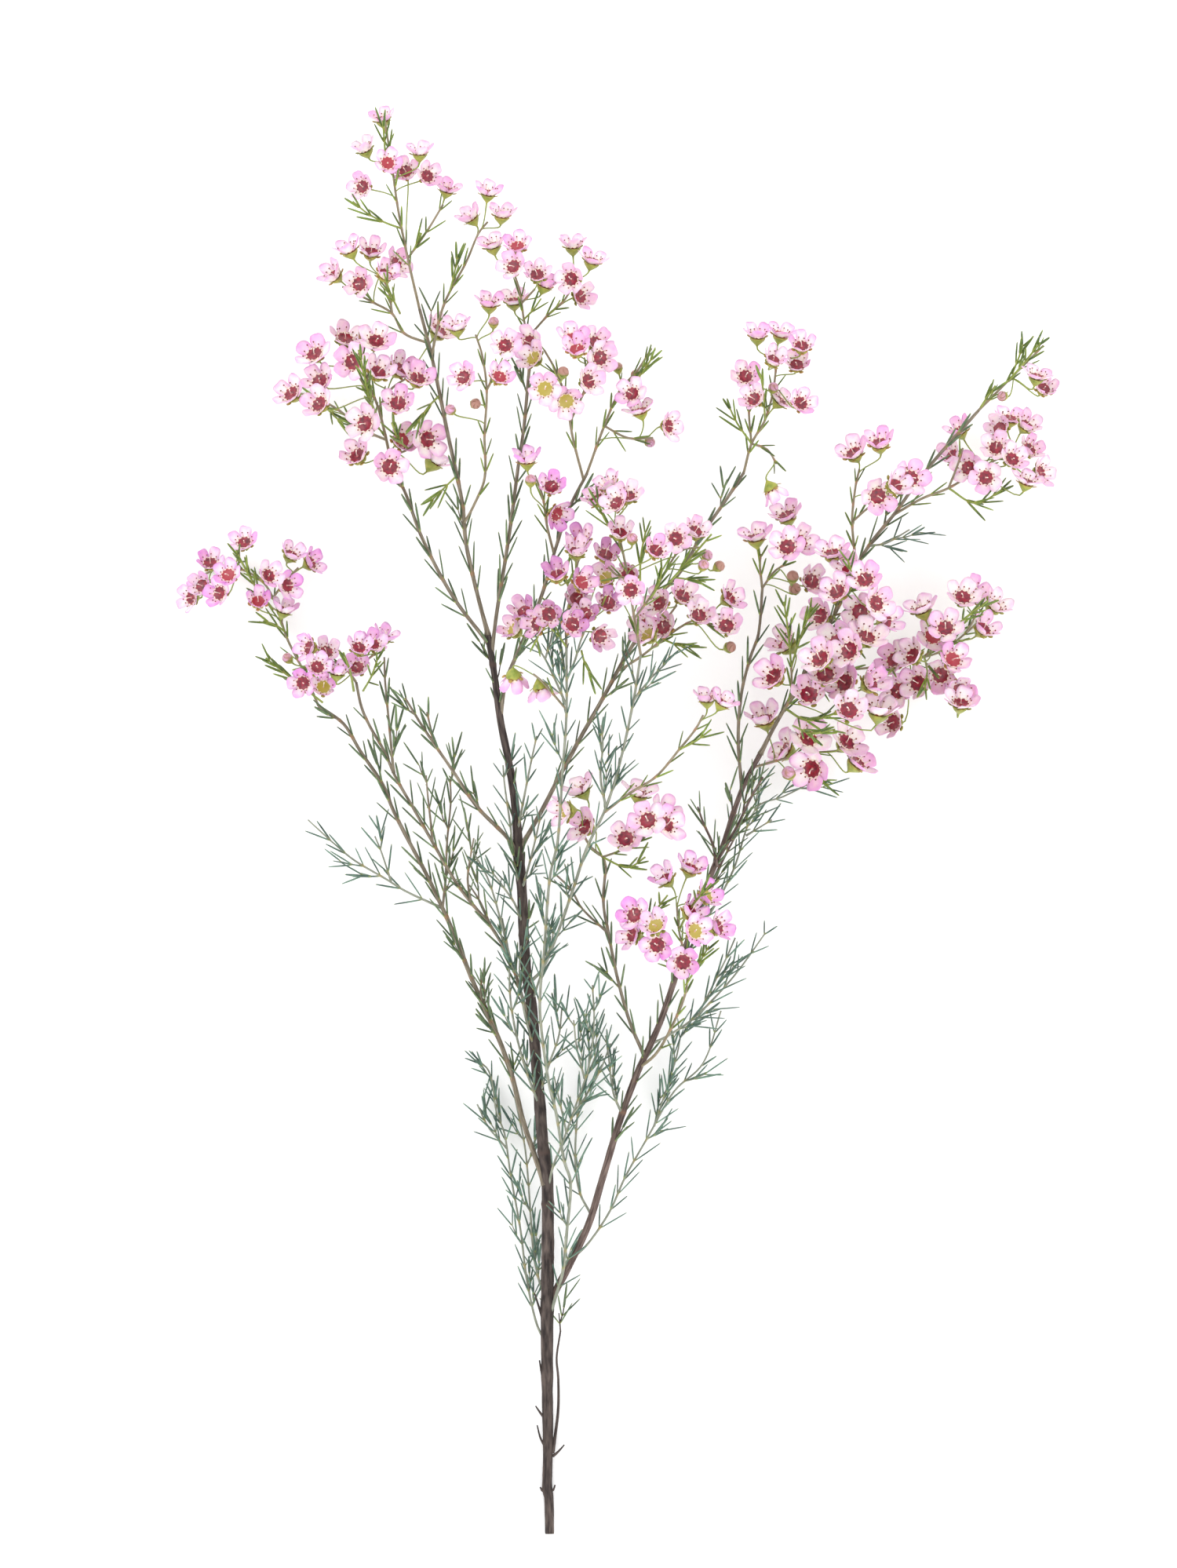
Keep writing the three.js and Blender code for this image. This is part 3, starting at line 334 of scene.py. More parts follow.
def loft(bm: Mesh, sides: int, rings: list[Matrix]) -> list[list[bmesh.types.BMVert]]:
    """Extrudes a circle from ring to ring and closes both ends.

    Args:
        bm: the mesh that it is added to.
        sides: how many sides the circle has.
        rings: where a circle of radius 1 goes, for each ring.

    Returns:
        Each ring's vertices.
    """
    verts = bmesh.ops.create_circle(bm, segments=sides, radius=1.0)["verts"]
    edges = list(dict.fromkeys(edge for vert in verts for edge in vert.link_edges))
    bmesh.ops.edgeloop_fill(bm, edges=edges)
    bmesh.ops.transform(bm, matrix=rings[0], verts=verts)
    made = [verts]
    for before, ring in zip(rings, rings[1:]):
        grown = bmesh.ops.extrude_edge_only(bm, edges=edges)["geom"]
        verts = [item for item in grown if isinstance(item, bmesh.types.BMVert)]
        edges = [
            item for item in grown if isinstance(item, bmesh.types.BMEdge) and len(item.link_faces) == 1
        ]
        bmesh.ops.transform(bm, matrix=ring @ before.inverted(), verts=verts)
        made.append(verts)
    bmesh.ops.edgeloop_fill(bm, edges=edges)
    return made


def add_stem(
    bm: Mesh, line: Line, sides: int, knots: list[float], swelling: float,
    skin: TwigSkin = TwigSkin.BARK,
) -> None:
    """Adds a closed stem along a line.

    Its "grain" runs round and along the stem, and "knot" is 1 at a knot.

    Args:
        bm: the mesh that it is added to.
        line: the middle line.
        sides: how many sides the stem has.
        knots: distances along the line where the stem swells.
        swelling: how much it swells there, as a share of its radius.
        skin: what its faces wear.
    """
    part = bmesh.new()
    hint = Vector((0.0, 0.0, 1.0))
    last = len(line.points) - 1
    rings, swells = [], []
    for i, point in enumerate(line.points):
        forward = (line.points[min(last, i + 1)] - line.points[max(0, i - 1)]).normalized()
        hint = level(forward, hint)
        near = min((abs(line.along[i] - s) for s in knots), default=1.0)
        swells.append(max(0.0, 1.0 - near / KNOT_REACH))
        radius = line.radii[i] * (1.0 + swelling * swells[i])
        rings.append(axes(point, hint, forward, Vector((radius, radius, radius))))
    grain = part.verts.layers.float_vector.new("grain")
    knot = part.verts.layers.float.new("knot")
    for ring, swell, along in zip(loft(part, sides, rings), swells, line.along):
        for k, vert in enumerate(ring):
            turn = 2 * math.pi * k / sides
            vert[grain] = (line.radii[0] * math.cos(turn), line.radii[0] * math.sin(turn), along)
            vert[knot] = swell
    wear(part, skin)
    add_part(bm, part)


def add_part(bm: Mesh, part: Mesh) -> None:
    """Moves a small mesh into a larger one, its faces turned outwards.

    Args:
        bm: the larger mesh.
        part: the small mesh, which is freed.
    """
    bmesh.ops.recalc_face_normals(part, faces=part.faces)
    mesh = bpy.data.meshes.new("part")
    part.to_mesh(mesh)
    part.free()
    bm.from_mesh(mesh)
    bpy.data.meshes.remove(mesh)


def lathe(profile: tuple[tuple[float, float], ...], steps: int) -> Mesh:
    """Spins a profile of (radius, height) points round z into a closed shape.

    Args:
        profile: the points, from the axis and back to it.
        steps: how many steps go round.

    Returns:
        The shape.
    """
    bm = bmesh.new()
    verts = [bm.verts.new((radius, 0.0, height)) for radius, height in profile]
    edges = [bm.edges.new(pair) for pair in zip(verts, verts[1:])]
    bmesh.ops.spin(
        bm, geom=verts + edges, cent=(0, 0, 0), axis=(0, 0, 1), angle=2 * math.pi, steps=steps,
        use_merge=True,
    )
    bmesh.ops.remove_doubles(bm, verts=bm.verts, dist=1e-4)
    return bm


def round_sheet(across: int, along: int, thickness: float, bend_it: Shaper) -> Mesh:
    """A thin blade from a grid that is rounded to a disc and then bent.

    Args:
        across: faces along x.
        along: faces along y.
        thickness: of the blade, in mm.
        bend_it: gives the place of a point of the disc, whose radius is 1.

    Returns:
        The closed blade, with the disc's x and y in its pattern.
    """
    bm = bmesh.new()
    pattern = bm.verts.layers.float_vector.new("pattern")
    bmesh.ops.create_grid(bm, x_segments=across, y_segments=along, size=1.0)
    for vert in bm.verts:
        x, y = vert.co.x, vert.co.y
        flat = Vector((x * math.sqrt(1 - y * y / 2), y * math.sqrt(1 - x * x / 2), 0.0))
        vert[pattern] = flat
        vert.co = bend_it(flat)
    bmesh.ops.solidify(bm, geom=bm.faces[:], thickness=thickness)
    return bm


class Stamp:
    """A template mesh that is copied into larger meshes."""

    def __init__(self, name: str, bm: Mesh) -> None:
        """Keeps a bmesh as a template and frees it.

        Args:
            name: of the template.
            bm: the mesh, which is freed.
        """
        self.mesh = bpy.data.meshes.new(name)
        bm.to_mesh(self.mesh)
        bm.free()
        values = np.empty(3 * len(self.mesh.vertices), np.float32)
        self.mesh.attributes["pattern"].data.foreach_get("vector", values)
        self.pattern = values.reshape(-1, 3)

    def press(self, bm: Mesh, matrix: Matrix, tone: float) -> None:
        """Adds a copy in place, with its tone as the third value of its pattern.

        Args:
            bm: the mesh that the copy goes into.
            matrix: where the copy goes.
            tone: 0 to 1.
        """
        copy = self.mesh.copy()
        copy.transform(matrix)
        pattern = self.pattern.copy()
        pattern[:, 2] = tone
        copy.attributes["pattern"].data.foreach_set("vector", pattern.ravel())
        bm.from_mesh(copy)
        bpy.data.meshes.remove(copy)


def make_piece(
    name: str, bm: Mesh, node: str, finishes: tuple["Finish", ...]
) -> None:
    """Turns a bmesh into a piece of the model.

    Args:
        name: of the piece.
        bm: its mesh, which is freed.
        node: the frame's node that it stands for.
        finishes: what it is dressed with, by the faces' material index.
    """
    used = sorted({face.material_index for face in bm.faces})
    for face in bm.faces:
        face.smooth = True
        face.material_index = used.index(face.material_index)
    for vert in bm.verts:
        vert.co.z = max(vert.co.z, 0.0)
    mesh = bpy.data.meshes.new(name)
    bm.to_mesh(mesh)
    bm.free()
    for index in used:
        mesh.materials.append(finishes[index].material())
    piece = bpy.data.objects.new(name, mesh)
    bpy.context.scene.collection.objects.link(piece)
    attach(piece, "root")
    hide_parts(node)
    log.info("%s: %d faces", name, len(mesh.polygons))


# ---- shader groups ----
MIX_INPUTS = (0, 6, 7)  # factor and both colours of a Mix node that mixes colours
MIX_OUTPUT = 2


class Nodes:
    """A node tree with short ways to add and join nodes."""

    def __init__(self, tree: bpy.types.NodeTree) -> None:
        """Works on a material's or a group's tree."""
        self.tree = tree

    def add(self, kind: str, **settings: object) -> bpy.types.Node:
        """Adds a node and sets its properties.

        Args:
            kind: type of the node.
            settings: its properties.

        Returns:
            The node.
        """
        node = self.tree.nodes.new(kind)
        for name, value in settings.items():
            setattr(node, name, value)
        return node

    def feed(self, socket: Socket, value: object) -> None:
        """Links a socket to another one, or sets its value.

        Args:
            socket: the input.
            value: an output, a number, a vector, or a colour as a hex code.
        """
        if isinstance(value, Socket):
            self.tree.links.new(value, socket)
        else:
            socket.default_value = paint(value) if isinstance(value, str) else value

    def math(self, operation: str, *values: object, clamp: bool = False) -> Socket:
        """The result of a Math node on sockets or numbers.

        Args:
            operation: what the node does.
            values: its inputs.
            clamp: whether the result is kept from 0 to 1.

        Returns:
            The result.
        """
        node = self.add("ShaderNodeMath", operation=operation, use_clamp=clamp)
        for socket, value in zip(node.inputs, values):
            self.feed(socket, value)
        return node.outputs[0]

    def mix(self, share: object, low: object, high: object) -> Socket:
        """A colour between two colours.

        Args:
            share: how much of the second colour.
            low: the first colour.
            high: the second colour.

        Returns:
            The mixed colour.
        """
        node = self.add("ShaderNodeMix", data_type="RGBA")
        for socket, value in zip(MIX_INPUTS, (share, low, high)):
            self.feed(node.inputs[socket], value)
        return node.outputs[MIX_OUTPUT]

    def ramp(self, value: object, low: float, high: float) -> Socket:
        """0 at low and 1 at high, smoothly between them.

        Args:
            value: what is measured.
            low: where the ramp starts.
            high: where it ends.

        Returns:
            0 to 1.
        """
        node = self.add("ShaderNodeMapRange", interpolation_type="SMOOTHSTEP")
        self.feed(node.inputs["Value"], value)
        node.inputs["From Min"].default_value = low
        node.inputs["From Max"].default_value = high
        return node.outputs["Result"]

    def noise(self, vector: object, scale: object, detail: float = 3.0) -> Socket:
        """A noise value.

        Args:
            vector: the place.
            scale: how fine the noise is.
            detail: how rough it is.

        Returns:
            0 to 1.
        """
        node = self.add("ShaderNodeTexNoise")
        self.feed(node.inputs["Vector"], vector)
        self.feed(node.inputs["Scale"], scale)
        node.inputs["Detail"].default_value = detail
        return node.outputs["Fac"]

    def place(self, tree: bpy.types.NodeTree, **values: object) -> bpy.types.Node:
        """Places a group with its own values.

        Args:
            tree: the group.
            values: its inputs.

        Returns:
            The node.
        """
        node = self.add("ShaderNodeGroup", node_tree=tree)
        for name, value in values.items():
            self.feed(node.inputs[name], value)
        return node

    def patches(self, scale: float, spread: float, low: object, high: object) -> bpy.types.Node:
        """Places patches of two colours over the piece."""
        return self.place(mottle(), Vector=self.where(), Scale=scale, Spread=spread, Low=low, High=high)

    def away(self, x: Socket, y: Socket) -> Socket:
        """How far off the middle a place is."""
        square = self.math("ADD", self.math("MULTIPLY", x, x), self.math("MULTIPLY", y, y))
        return self.math("SQRT", square)

    def where(self) -> Socket:
        """The place on the piece, in metres."""
        return self.add("ShaderNodeTexCoord").outputs["Object"]

    def split(self, attribute: str) -> tuple[Socket, ...]:
        """The three values of a piece's vector attribute.

        Args:
            attribute: its name.

        Returns:
            The values.
        """
        source = self.add("ShaderNodeAttribute", attribute_name=attribute)
        parts = self.add("ShaderNodeSeparateXYZ")
        self.feed(parts.inputs[0], source.outputs["Vector"])
        return tuple(parts.outputs)


Group = tuple[Nodes, dict[str, Socket], dict[str, Socket]]


def new_group(name: str, inputs: dict[str, str], outputs: dict[str, str]) -> Group:
    """Makes an empty shader group.

    Args:
        name: of the group.
        inputs: socket kind of each input.
        outputs: socket kind of each output.

    Returns:
        The group's nodes, its input sockets and its output sockets by name.
    """
    tree = bpy.data.node_groups.new(name, "ShaderNodeTree")
    for title, kind in inputs.items():
        tree.interface.new_socket(title, in_out="INPUT", socket_type=kind)
    for title, kind in outputs.items():
        tree.interface.new_socket(title, in_out="OUTPUT", socket_type=kind)
    nodes = Nodes(tree)
    start = nodes.add("NodeGroupInput").outputs
    end = nodes.add("NodeGroupOutput").inputs
    return nodes, {title: start[title] for title in inputs}, {title: end[title] for title in outputs}


FLOAT, COLOUR, VECTOR = "NodeSocketFloat", "NodeSocketColor", "NodeSocketVector"


@lru_cache
def mottle() -> bpy.types.NodeTree:
    """Two colours in soft irregular patches.

    Returns:
        The group.
    """
    nodes, given, result = new_group(
        "mottle",
        {"Vector": VECTOR, "Scale": FLOAT, "Spread": FLOAT, "Low": COLOUR, "High": COLOUR},
        {"Color": COLOUR, "Mask": FLOAT},
    )
    value = nodes.noise(given["Vector"], given["Scale"])
    centred = nodes.math("SUBTRACT", value, 0.5)
    wide = nodes.math("MULTIPLY_ADD", centred, given["Spread"], 0.5, clamp=True)
    nodes.feed(result["Mask"], wide)
    nodes.feed(result["Color"], nodes.mix(wide, given["Low"], given["High"]))
    return nodes.tree


@lru_cache
def relief() -> bpy.types.NodeTree:
    """Fine bumps as a normal.

    Returns:
        The group.
    """
    nodes, given, result = new_group(
        "relief",
        {"Vector": VECTOR, "Scale": FLOAT, "Strength": FLOAT, "Distance": FLOAT},
        {"Normal": VECTOR},
    )
    bump = nodes.add("ShaderNodeBump")
    nodes.feed(bump.inputs["Height"], nodes.noise(given["Vector"], given["Scale"]))
    nodes.feed(bump.inputs["Strength"], given["Strength"])
    nodes.feed(bump.inputs["Distance"], given["Distance"])
    nodes.feed(result["Normal"], bump.outputs["Normal"])
    return nodes.tree


@lru_cache
def shade_by_tone() -> bpy.types.NodeTree:
    """Makes each bloom or needle lighter or darker than its neighbours.

    Returns:
        The group.
    """
    nodes, given, result = new_group(
        "shade_by_tone", {"Color": COLOUR, "Tone": FLOAT, "Amount": FLOAT}, {"Color": COLOUR}
    )
    shift = nodes.math("SUBTRACT", given["Tone"], 0.5)
    value = nodes.math("MULTIPLY_ADD", shift, given["Amount"], 1.0)
    change = nodes.add("ShaderNodeHueSaturation")
    nodes.feed(change.inputs["Color"], given["Color"])
    nodes.feed(change.inputs["Value"], value)
    nodes.feed(result["Color"], change.outputs["Color"])
    return nodes.tree


def paint(code: str) -> tuple[float, float, float, float]:
    """A hex colour as linear light.

    Args:
        code: such as "#ffffff".

    Returns:
        Red, green, blue and alpha.
    """
    parts = [int(code[i : i + 2], 16) / 255 for i in (1, 3, 5)]
    light = [p / 12.92 if p <= 0.04045 else ((p + 0.055) / 1.055) ** 2.4 for p in parts]
    return (*light, 1.0)


# ---- finishes ----
@dataclass(frozen=True)
class Finish:
    """A finish with the numbers that are the same all over it."""

    name: str
    roughness: float
    coat: float = 0.0
    specular: float = 0.5
    subsurface: float = 0.0
    bumps: tuple[float, float, float] | None = None  # scale, strength and height in metres

    def colour(self, nodes: Nodes) -> Socket:
        """The colour over the surface."""
        raise NotImplementedError

    def normal(self, nodes: Nodes) -> Socket | None:
        """The fine relief, if it has one.

        Args:
            nodes: of the material.

        Returns:
            The normal, or None.
        """
        if self.bumps is None:
            return None
        scale, strength, height = self.bumps
        group = nodes.place(relief(), Vector=nodes.where(), Scale=scale, Strength=strength, Distance=height)
        return group.outputs["Normal"]

    @lru_cache
    def material(self) -> bpy.types.Material:
        """The material, made once.

        Returns:
            The material.
        """
        material = bpy.data.materials.new(self.name)
        material.use_nodes = True
        nodes = Nodes(material.node_tree)
        shader = material.node_tree.nodes["Principled BSDF"]
        shader.inputs["Roughness"].default_value = self.roughness
        shader.inputs["Coat Weight"].default_value = self.coat
        shader.inputs["Coat Roughness"].default_value = 0.2
        shader.inputs["Specular IOR Level"].default_value = self.specular
        shader.inputs["Subsurface Weight"].default_value = self.subsurface
        shader.inputs["Subsurface Scale"].default_value = 0.6 * MM
        nodes.feed(shader.inputs["Base Color"], self.colour(nodes))
        normal = self.normal(nodes)
        if normal is not None:
            nodes.feed(shader.inputs["Normal"], normal)
        return material


@dataclass(frozen=True)
class PetalFinish(Finish):
    """Waxy petal: white at its claw, blushed over the blade, lilac pink along its rim."""

    throat: str = "#f8f2ee"
    blade: str = "#f6e2ec"
    rim: str = "#eaa9dd"
    vein: str = "#efc4dc"
    flush: float = 0.3
    white_to: float = 0.05
    bumps: tuple[float, float, float] = (1500.0, 0.25, 0.1 * MM)

    def colour(self, nodes: Nodes) -> Socket:
        """Throat to rim, with faint veins.

        Args:
            nodes: of the material.

        Returns:
            The colour.
        """
        across, along, tone = nodes.split("pattern")
        side = nodes.math("MULTIPLY", nodes.math("ABSOLUTE", across), 0.8)
        out = nodes.math("MAXIMUM", side, along)
        patch = nodes.patches(260.0, 2.6, self.throat, self.blade)
        flush = nodes.math("MULTIPLY_ADD", patch.outputs["Mask"], 0.4, self.flush)
        flushed = nodes.math("MULTIPLY_ADD", tone, 0.5, flush)
        edge = nodes.math("MULTIPLY", nodes.ramp(out, self.white_to, 1.05), flushed, clamp=True)
        inner = nodes.mix(nodes.ramp(along, -0.5, 0.2), self.throat, patch.outputs["Color"])
        rimmed = nodes.mix(edge, inner, self.rim)
        fan = nodes.add("ShaderNodeCombineXYZ")
        nodes.feed(fan.inputs["X"], nodes.math("MULTIPLY", across, 9.0))
        nodes.feed(fan.inputs["Y"], nodes.math("MULTIPLY", along, 1.2))
        lines = nodes.ramp(nodes.noise(fan.outputs[0], 1.0, 1.0), 0.52, 0.7)
        faint = nodes.math("MULTIPLY", lines, 0.22)
        veined = nodes.mix(faint, rimmed, self.vein)
        return nodes.place(shade_by_tone(), Color=veined, Tone=tone, Amount=0.06).outputs["Color"]


# tones of a disc: what the ripest red ones reach, where the other colours start, the yellow ones
RED_TONES = 0.8
SALMON_FROM = 0.75
YELLOW_FROM = 0.9
YELLOW_TONE = 0.97


@dataclass(frozen=True)
class DiscFinish(Finish):
    """Glossy crimson disc with a toothed cream lip; some discs are salmon or yellow-green."""

    middle: str = "#e2a89a"
    crimson: str = "#9e0a30"
    deep: str = "#560620"
    lip: str = "#fbe6d6"
    salmon: str = "#a62a3a"
    yellow: str = "#ad9c3a"
    teeth: int = 10

    def colour(self, nodes: Nodes) -> Socket:
        """Rings from the middle outwards.

        Args:
            nodes: of the material.

        Returns:
            The colour.
        """
        across, up, tone = nodes.split("pattern")
        out = nodes.away(across, up)
        turn = nodes.math("MULTIPLY", nodes.math("ARCTAN2", up, across), float(self.teeth))
        wave = nodes.math("MULTIPLY_ADD", nodes.math("SINE", turn), 0.06, out)
        body = nodes.patches(700.0, 2.5, self.deep, self.crimson).outputs["Color"]
        faded = nodes.mix(nodes.math("GREATER_THAN", tone, SALMON_FROM), body, self.salmon)
        aged = nodes.mix(nodes.math("GREATER_THAN", tone, YELLOW_FROM), faded, self.yellow)
        ringed = nodes.mix(nodes.ramp(out, 0.14, 0.08), aged, self.middle)
        return nodes.mix(nodes.ramp(wave, 0.84, 0.92), ringed, self.lip)


@dataclass(frozen=True)
class StamenFinish(Finish):
    """Cream filaments with red-brown anthers."""

    filament: str = "#fff0e2"
    anther: str = "#5a1a20"
    pollen: str = "#9c4638"

    def colour(self, nodes: Nodes) -> Socket:
        """Filament to anther.

        Args:
            nodes: of the material.

        Returns:
            The colour.
        """
        along, _, _ = nodes.split("pattern")
        head = nodes.patches(1800.0, 3.0, self.anther, self.pollen).outputs["Color"]
        return nodes.mix(nodes.ramp(along, 0.8, 0.9), self.filament, head)


@dataclass(frozen=True)
class BudFinish(Finish):
    """Closed petals: dusky rose, browner where they overlap."""

    rose: str = "#cf9ac4"
    ripe: str = "#ae7f70"
    brown: str = "#80573f"
    green: str = "#8a8f45"

    def colour(self, nodes: Nodes) -> Socket:
        """Green at the cup, rose above it.

        Args:
            nodes: of the material.

        Returns:
            The colour.
        """
        up, fold, tone = nodes.split("pattern")
        fresh = nodes.mix(nodes.ramp(tone, 0.3, 0.42), self.ripe, self.rose)
        skin = nodes.patches(500.0, 2.5, self.ripe, fresh).outputs["Color"]
        folded = nodes.mix(nodes.ramp(fold, 0.5, 0.0), skin, self.brown)
        based = nodes.mix(nodes.ramp(up, 0.62, 0.25), folded, self.green)
        return nodes.place(shade_by_tone(), Color=based, Tone=tone, Amount=0.3).outputs["Color"]


@dataclass(frozen=True)
class CupFinish(Finish):
    """Ribbed yellow-green cup under a bloom, and its stalk."""

    high: str = "#aeab48"
    low: str = "#718430"
    blush: str = "#b07a4c"
    bumps: tuple[float, float, float] = (2600.0, 0.35, 0.12 * MM)  # oil dots

    def colour(self, nodes: Nodes) -> Socket:
        """Green and yellow patches, blushed at the rim.

        Args:
            nodes: of the material.

        Returns:
            The colour.
        """
        up, _, tone = nodes.split("pattern")
        patch = nodes.patches(420.0, 2.2, self.low, self.high).outputs["Color"]
        top = nodes.math("MULTIPLY", nodes.ramp(up, 0.62, 1.0), nodes.math("MULTIPLY", tone, 0.8))
        rimmed = nodes.mix(top, patch, self.blush)
        return nodes.place(shade_by_tone(), Color=rimmed, Tone=tone, Amount=0.25).outputs["Color"]


@dataclass(frozen=True)
class NeedleFinish(Finish):
    """Needle: dark on its blade, paler at its foot and its hooked tip."""

    dark: str = "#3f5a3c"
    light: str = "#6b8a4a"
    foot: str = "#a3a566"
    bumps: tuple[float, float, float] = (2400.0, 0.3, 0.1 * MM)  # oil dots

    def colour(self, nodes: Nodes) -> Socket:
        """Foot, blade and tip.

        Args:
            nodes: of the material.

        Returns:
            The colour.
        """
        along, _, tone = nodes.split("pattern")
        patch = nodes.patches(180.0, 2.4, self.dark, self.light).outputs["Color"]
        based = nodes.mix(nodes.ramp(along, 0.16, 0.02), patch, self.foot)
        tipped = nodes.mix(nodes.ramp(along, 0.93, 1.0), based, self.foot)
        return nodes.place(shade_by_tone(), Color=tipped, Tone=tone, Amount=0.5).outputs["Color"]


@dataclass(frozen=True)
class StemFinish(Finish):
    """Bark or green rind, streaked along the stem, with its own colour at the knots."""

    dark: str = "#4b3833"
    light: str = "#8b776c"
    knot: str = "#a9774f"
    streak: float = 900.0
    depth: float = 0.25

    def stretched(self, nodes: Nodes) -> Socket:
        """The grain, drawn out along the stem.

        Args:
            nodes: of the material.

        Returns:
            The place in the grain.
        """
        grain = nodes.add("ShaderNodeAttribute", attribute_name="grain").outputs["Vector"]
        long = nodes.add("ShaderNodeMapping", vector_type="POINT")
        nodes.feed(long.inputs["Vector"], grain)
        long.inputs["Scale"].default_value = (1.0, 1.0, 0.16)
        return long.outputs["Vector"]

    def colour(self, nodes: Nodes) -> Socket:
        """Streaks, larger patches and knots.

        Args:
            nodes: of the material.

        Returns:
            The colour.
        """
        fibre = nodes.place(
            mottle(), Vector=self.stretched(nodes), Scale=self.streak, Spread=3.2,
            Low=self.dark, High=self.light,
        )
        patch = nodes.patches(70.0, 2.0, self.dark, fibre.outputs["Color"])
        mark = nodes.add("ShaderNodeAttribute", attribute_name="knot").outputs["Fac"]
        share = nodes.math("MULTIPLY", nodes.ramp(mark, 0.1, 0.9), 0.75)
        aged = nodes.mix(0.55, fibre.outputs["Color"], patch.outputs["Color"])
        return nodes.mix(share, aged, self.knot)

    def normal(self, nodes: Nodes) -> Socket:
        """Fibres.

        Args:
            nodes: of the material.

        Returns:
            The normal.
        """
        group = nodes.place(
            relief(), Vector=self.stretched(nodes), Scale=1.4 * self.streak, Strength=0.7,
            Distance=self.depth * MM,
        )
        return group.outputs["Normal"]


@dataclass(frozen=True)
class CutFinish(Finish):
    """Cut wood: pale, with a brown rim and pith."""

    wood: str = "#d9c19a"
    ring: str = "#b58f62"
    bark: str = "#5a443b"
    radius: float = 1.9

    def colour(self, nodes: Nodes) -> Socket:
        """Rings round the pith.

        Args:
            nodes: of the material.

        Returns:
            The colour.
        """
        across, up, _ = nodes.split("grain")
        out = nodes.math("DIVIDE", nodes.away(across, up), self.radius * MM)
        waves = nodes.math("SINE", nodes.math("MULTIPLY", out, 38.0))
        rings = nodes.math("MULTIPLY_ADD", waves, 0.25, 0.3)
        wood = nodes.mix(rings, self.wood, self.ring)
        pith = nodes.mix(nodes.ramp(out, 0.14, 0.06), wood, self.bark)
        return nodes.mix(nodes.ramp(out, 0.84, 0.93), pith, self.bark)


PETALS = {
    Shade.PALE: PetalFinish("petal_pale", roughness=0.42, coat=0.08, subsurface=0.15),
    Shade.LILAC: PetalFinish(
        "petal_lilac", roughness=0.42, coat=0.08, subsurface=0.15, throat="#f8eef0", blade="#f5d8ec",
        rim="#e49ade", vein="#eab4dd",
    ),
    # darker, more purple petal colours: painted shade for a head lying in shadow
    Shade.MAUVE_PAINTED_SHADE: PetalFinish(
        "petal_mauve_painted_shade", roughness=0.42, coat=0.08, subsurface=0.12, throat="#f8e6ea", blade="#ecc6dd",
        rim="#cf8fc4", vein="#d5a3c7",
    ),
}
PETAL_BACKS = {
    Shade.PALE: PetalFinish(
        "petal_back_pale", roughness=0.45, coat=0.05, subsurface=0.15, throat="#f5e9e5", blade="#f3d5e7",
        rim="#e6a3da", flush=0.35, white_to=-0.7,
    ),
    Shade.LILAC: PetalFinish(
        "petal_back_lilac", roughness=0.45, coat=0.05, subsurface=0.15, throat="#f9e6ec", blade="#f3c7ea",
        rim="#e18fdc", flush=0.4, white_to=-0.8,
    ),
    # darker, more purple petal backs: painted shade for a head lying in shadow
    Shade.MAUVE_PAINTED_SHADE: PetalFinish(
        "petal_back_mauve_painted_shade", roughness=0.45, coat=0.05, subsurface=0.12, throat="#efd0da", blade="#dba9ce",
        rim="#bf7db6", vein="#c58fbd", flush=0.4, white_to=-0.8,
    ),
}
DISC = DiscFinish("crimson_disc", roughness=0.28, coat=0.3)
STAMEN = StamenFinish("stamens", roughness=0.5)
BUD = BudFinish("bud_skin", roughness=0.4, coat=0.1)
CUP = CupFinish("calyx_skin", roughness=0.45, coat=0.05)
CUT_WOOD = CutFinish("cut_wood", roughness=0.85, specular=0.3)
DARK_NEEDLE = NeedleFinish("needle_dark", roughness=0.5, dark="#274238", light="#6f8d7a", foot="#8a9458")
MIXED_NEEDLE = NeedleFinish("needle_mixed", roughness=0.48, dark="#2a4229", light="#6c8258", foot="#8e9650")
BRIGHT_NEEDLE = NeedleFinish("needle_bright", roughness=0.46, dark="#34501d", light="#7f9438", foot="#a3a34e")

STALK = StemFinish(
    "flower_stalk", roughness=0.5, dark="#748a34", light="#a3a957", knot="#a3a957", streak=1800.0, depth=0.03
)
STEM_FINISHES = {
    Growth.TRUNK: StemFinish(
        "trunk_bark", roughness=0.8, specular=0.3, dark="#2a2322", light="#635751", knot="#4e3f39"
    ),
    Growth.LIMB: StemFinish(
        "limb_bark", roughness=0.78, specular=0.3, dark="#433532", light="#85736b", knot="#8a6a56"
    ),
    Growth.TWIG: StemFinish(
        "twig_bark", roughness=0.7, dark="#5a5042", light="#9c917d", knot="#94704e", streak=1400.0,
        depth=0.12,
    ),
    Growth.SHOOT: StemFinish(
        "pale_shoot", roughness=0.6, dark="#6d7466", light="#a6a896", knot="#9c8c58", streak=1600.0,
        depth=0.06,
    ),
    Growth.SPRAY: StemFinish(
        "flower_twig", roughness=0.55, dark="#746b50", light="#a0927a", knot="#a67a5e", streak=1800.0,
        depth=0.06,
    ),
}


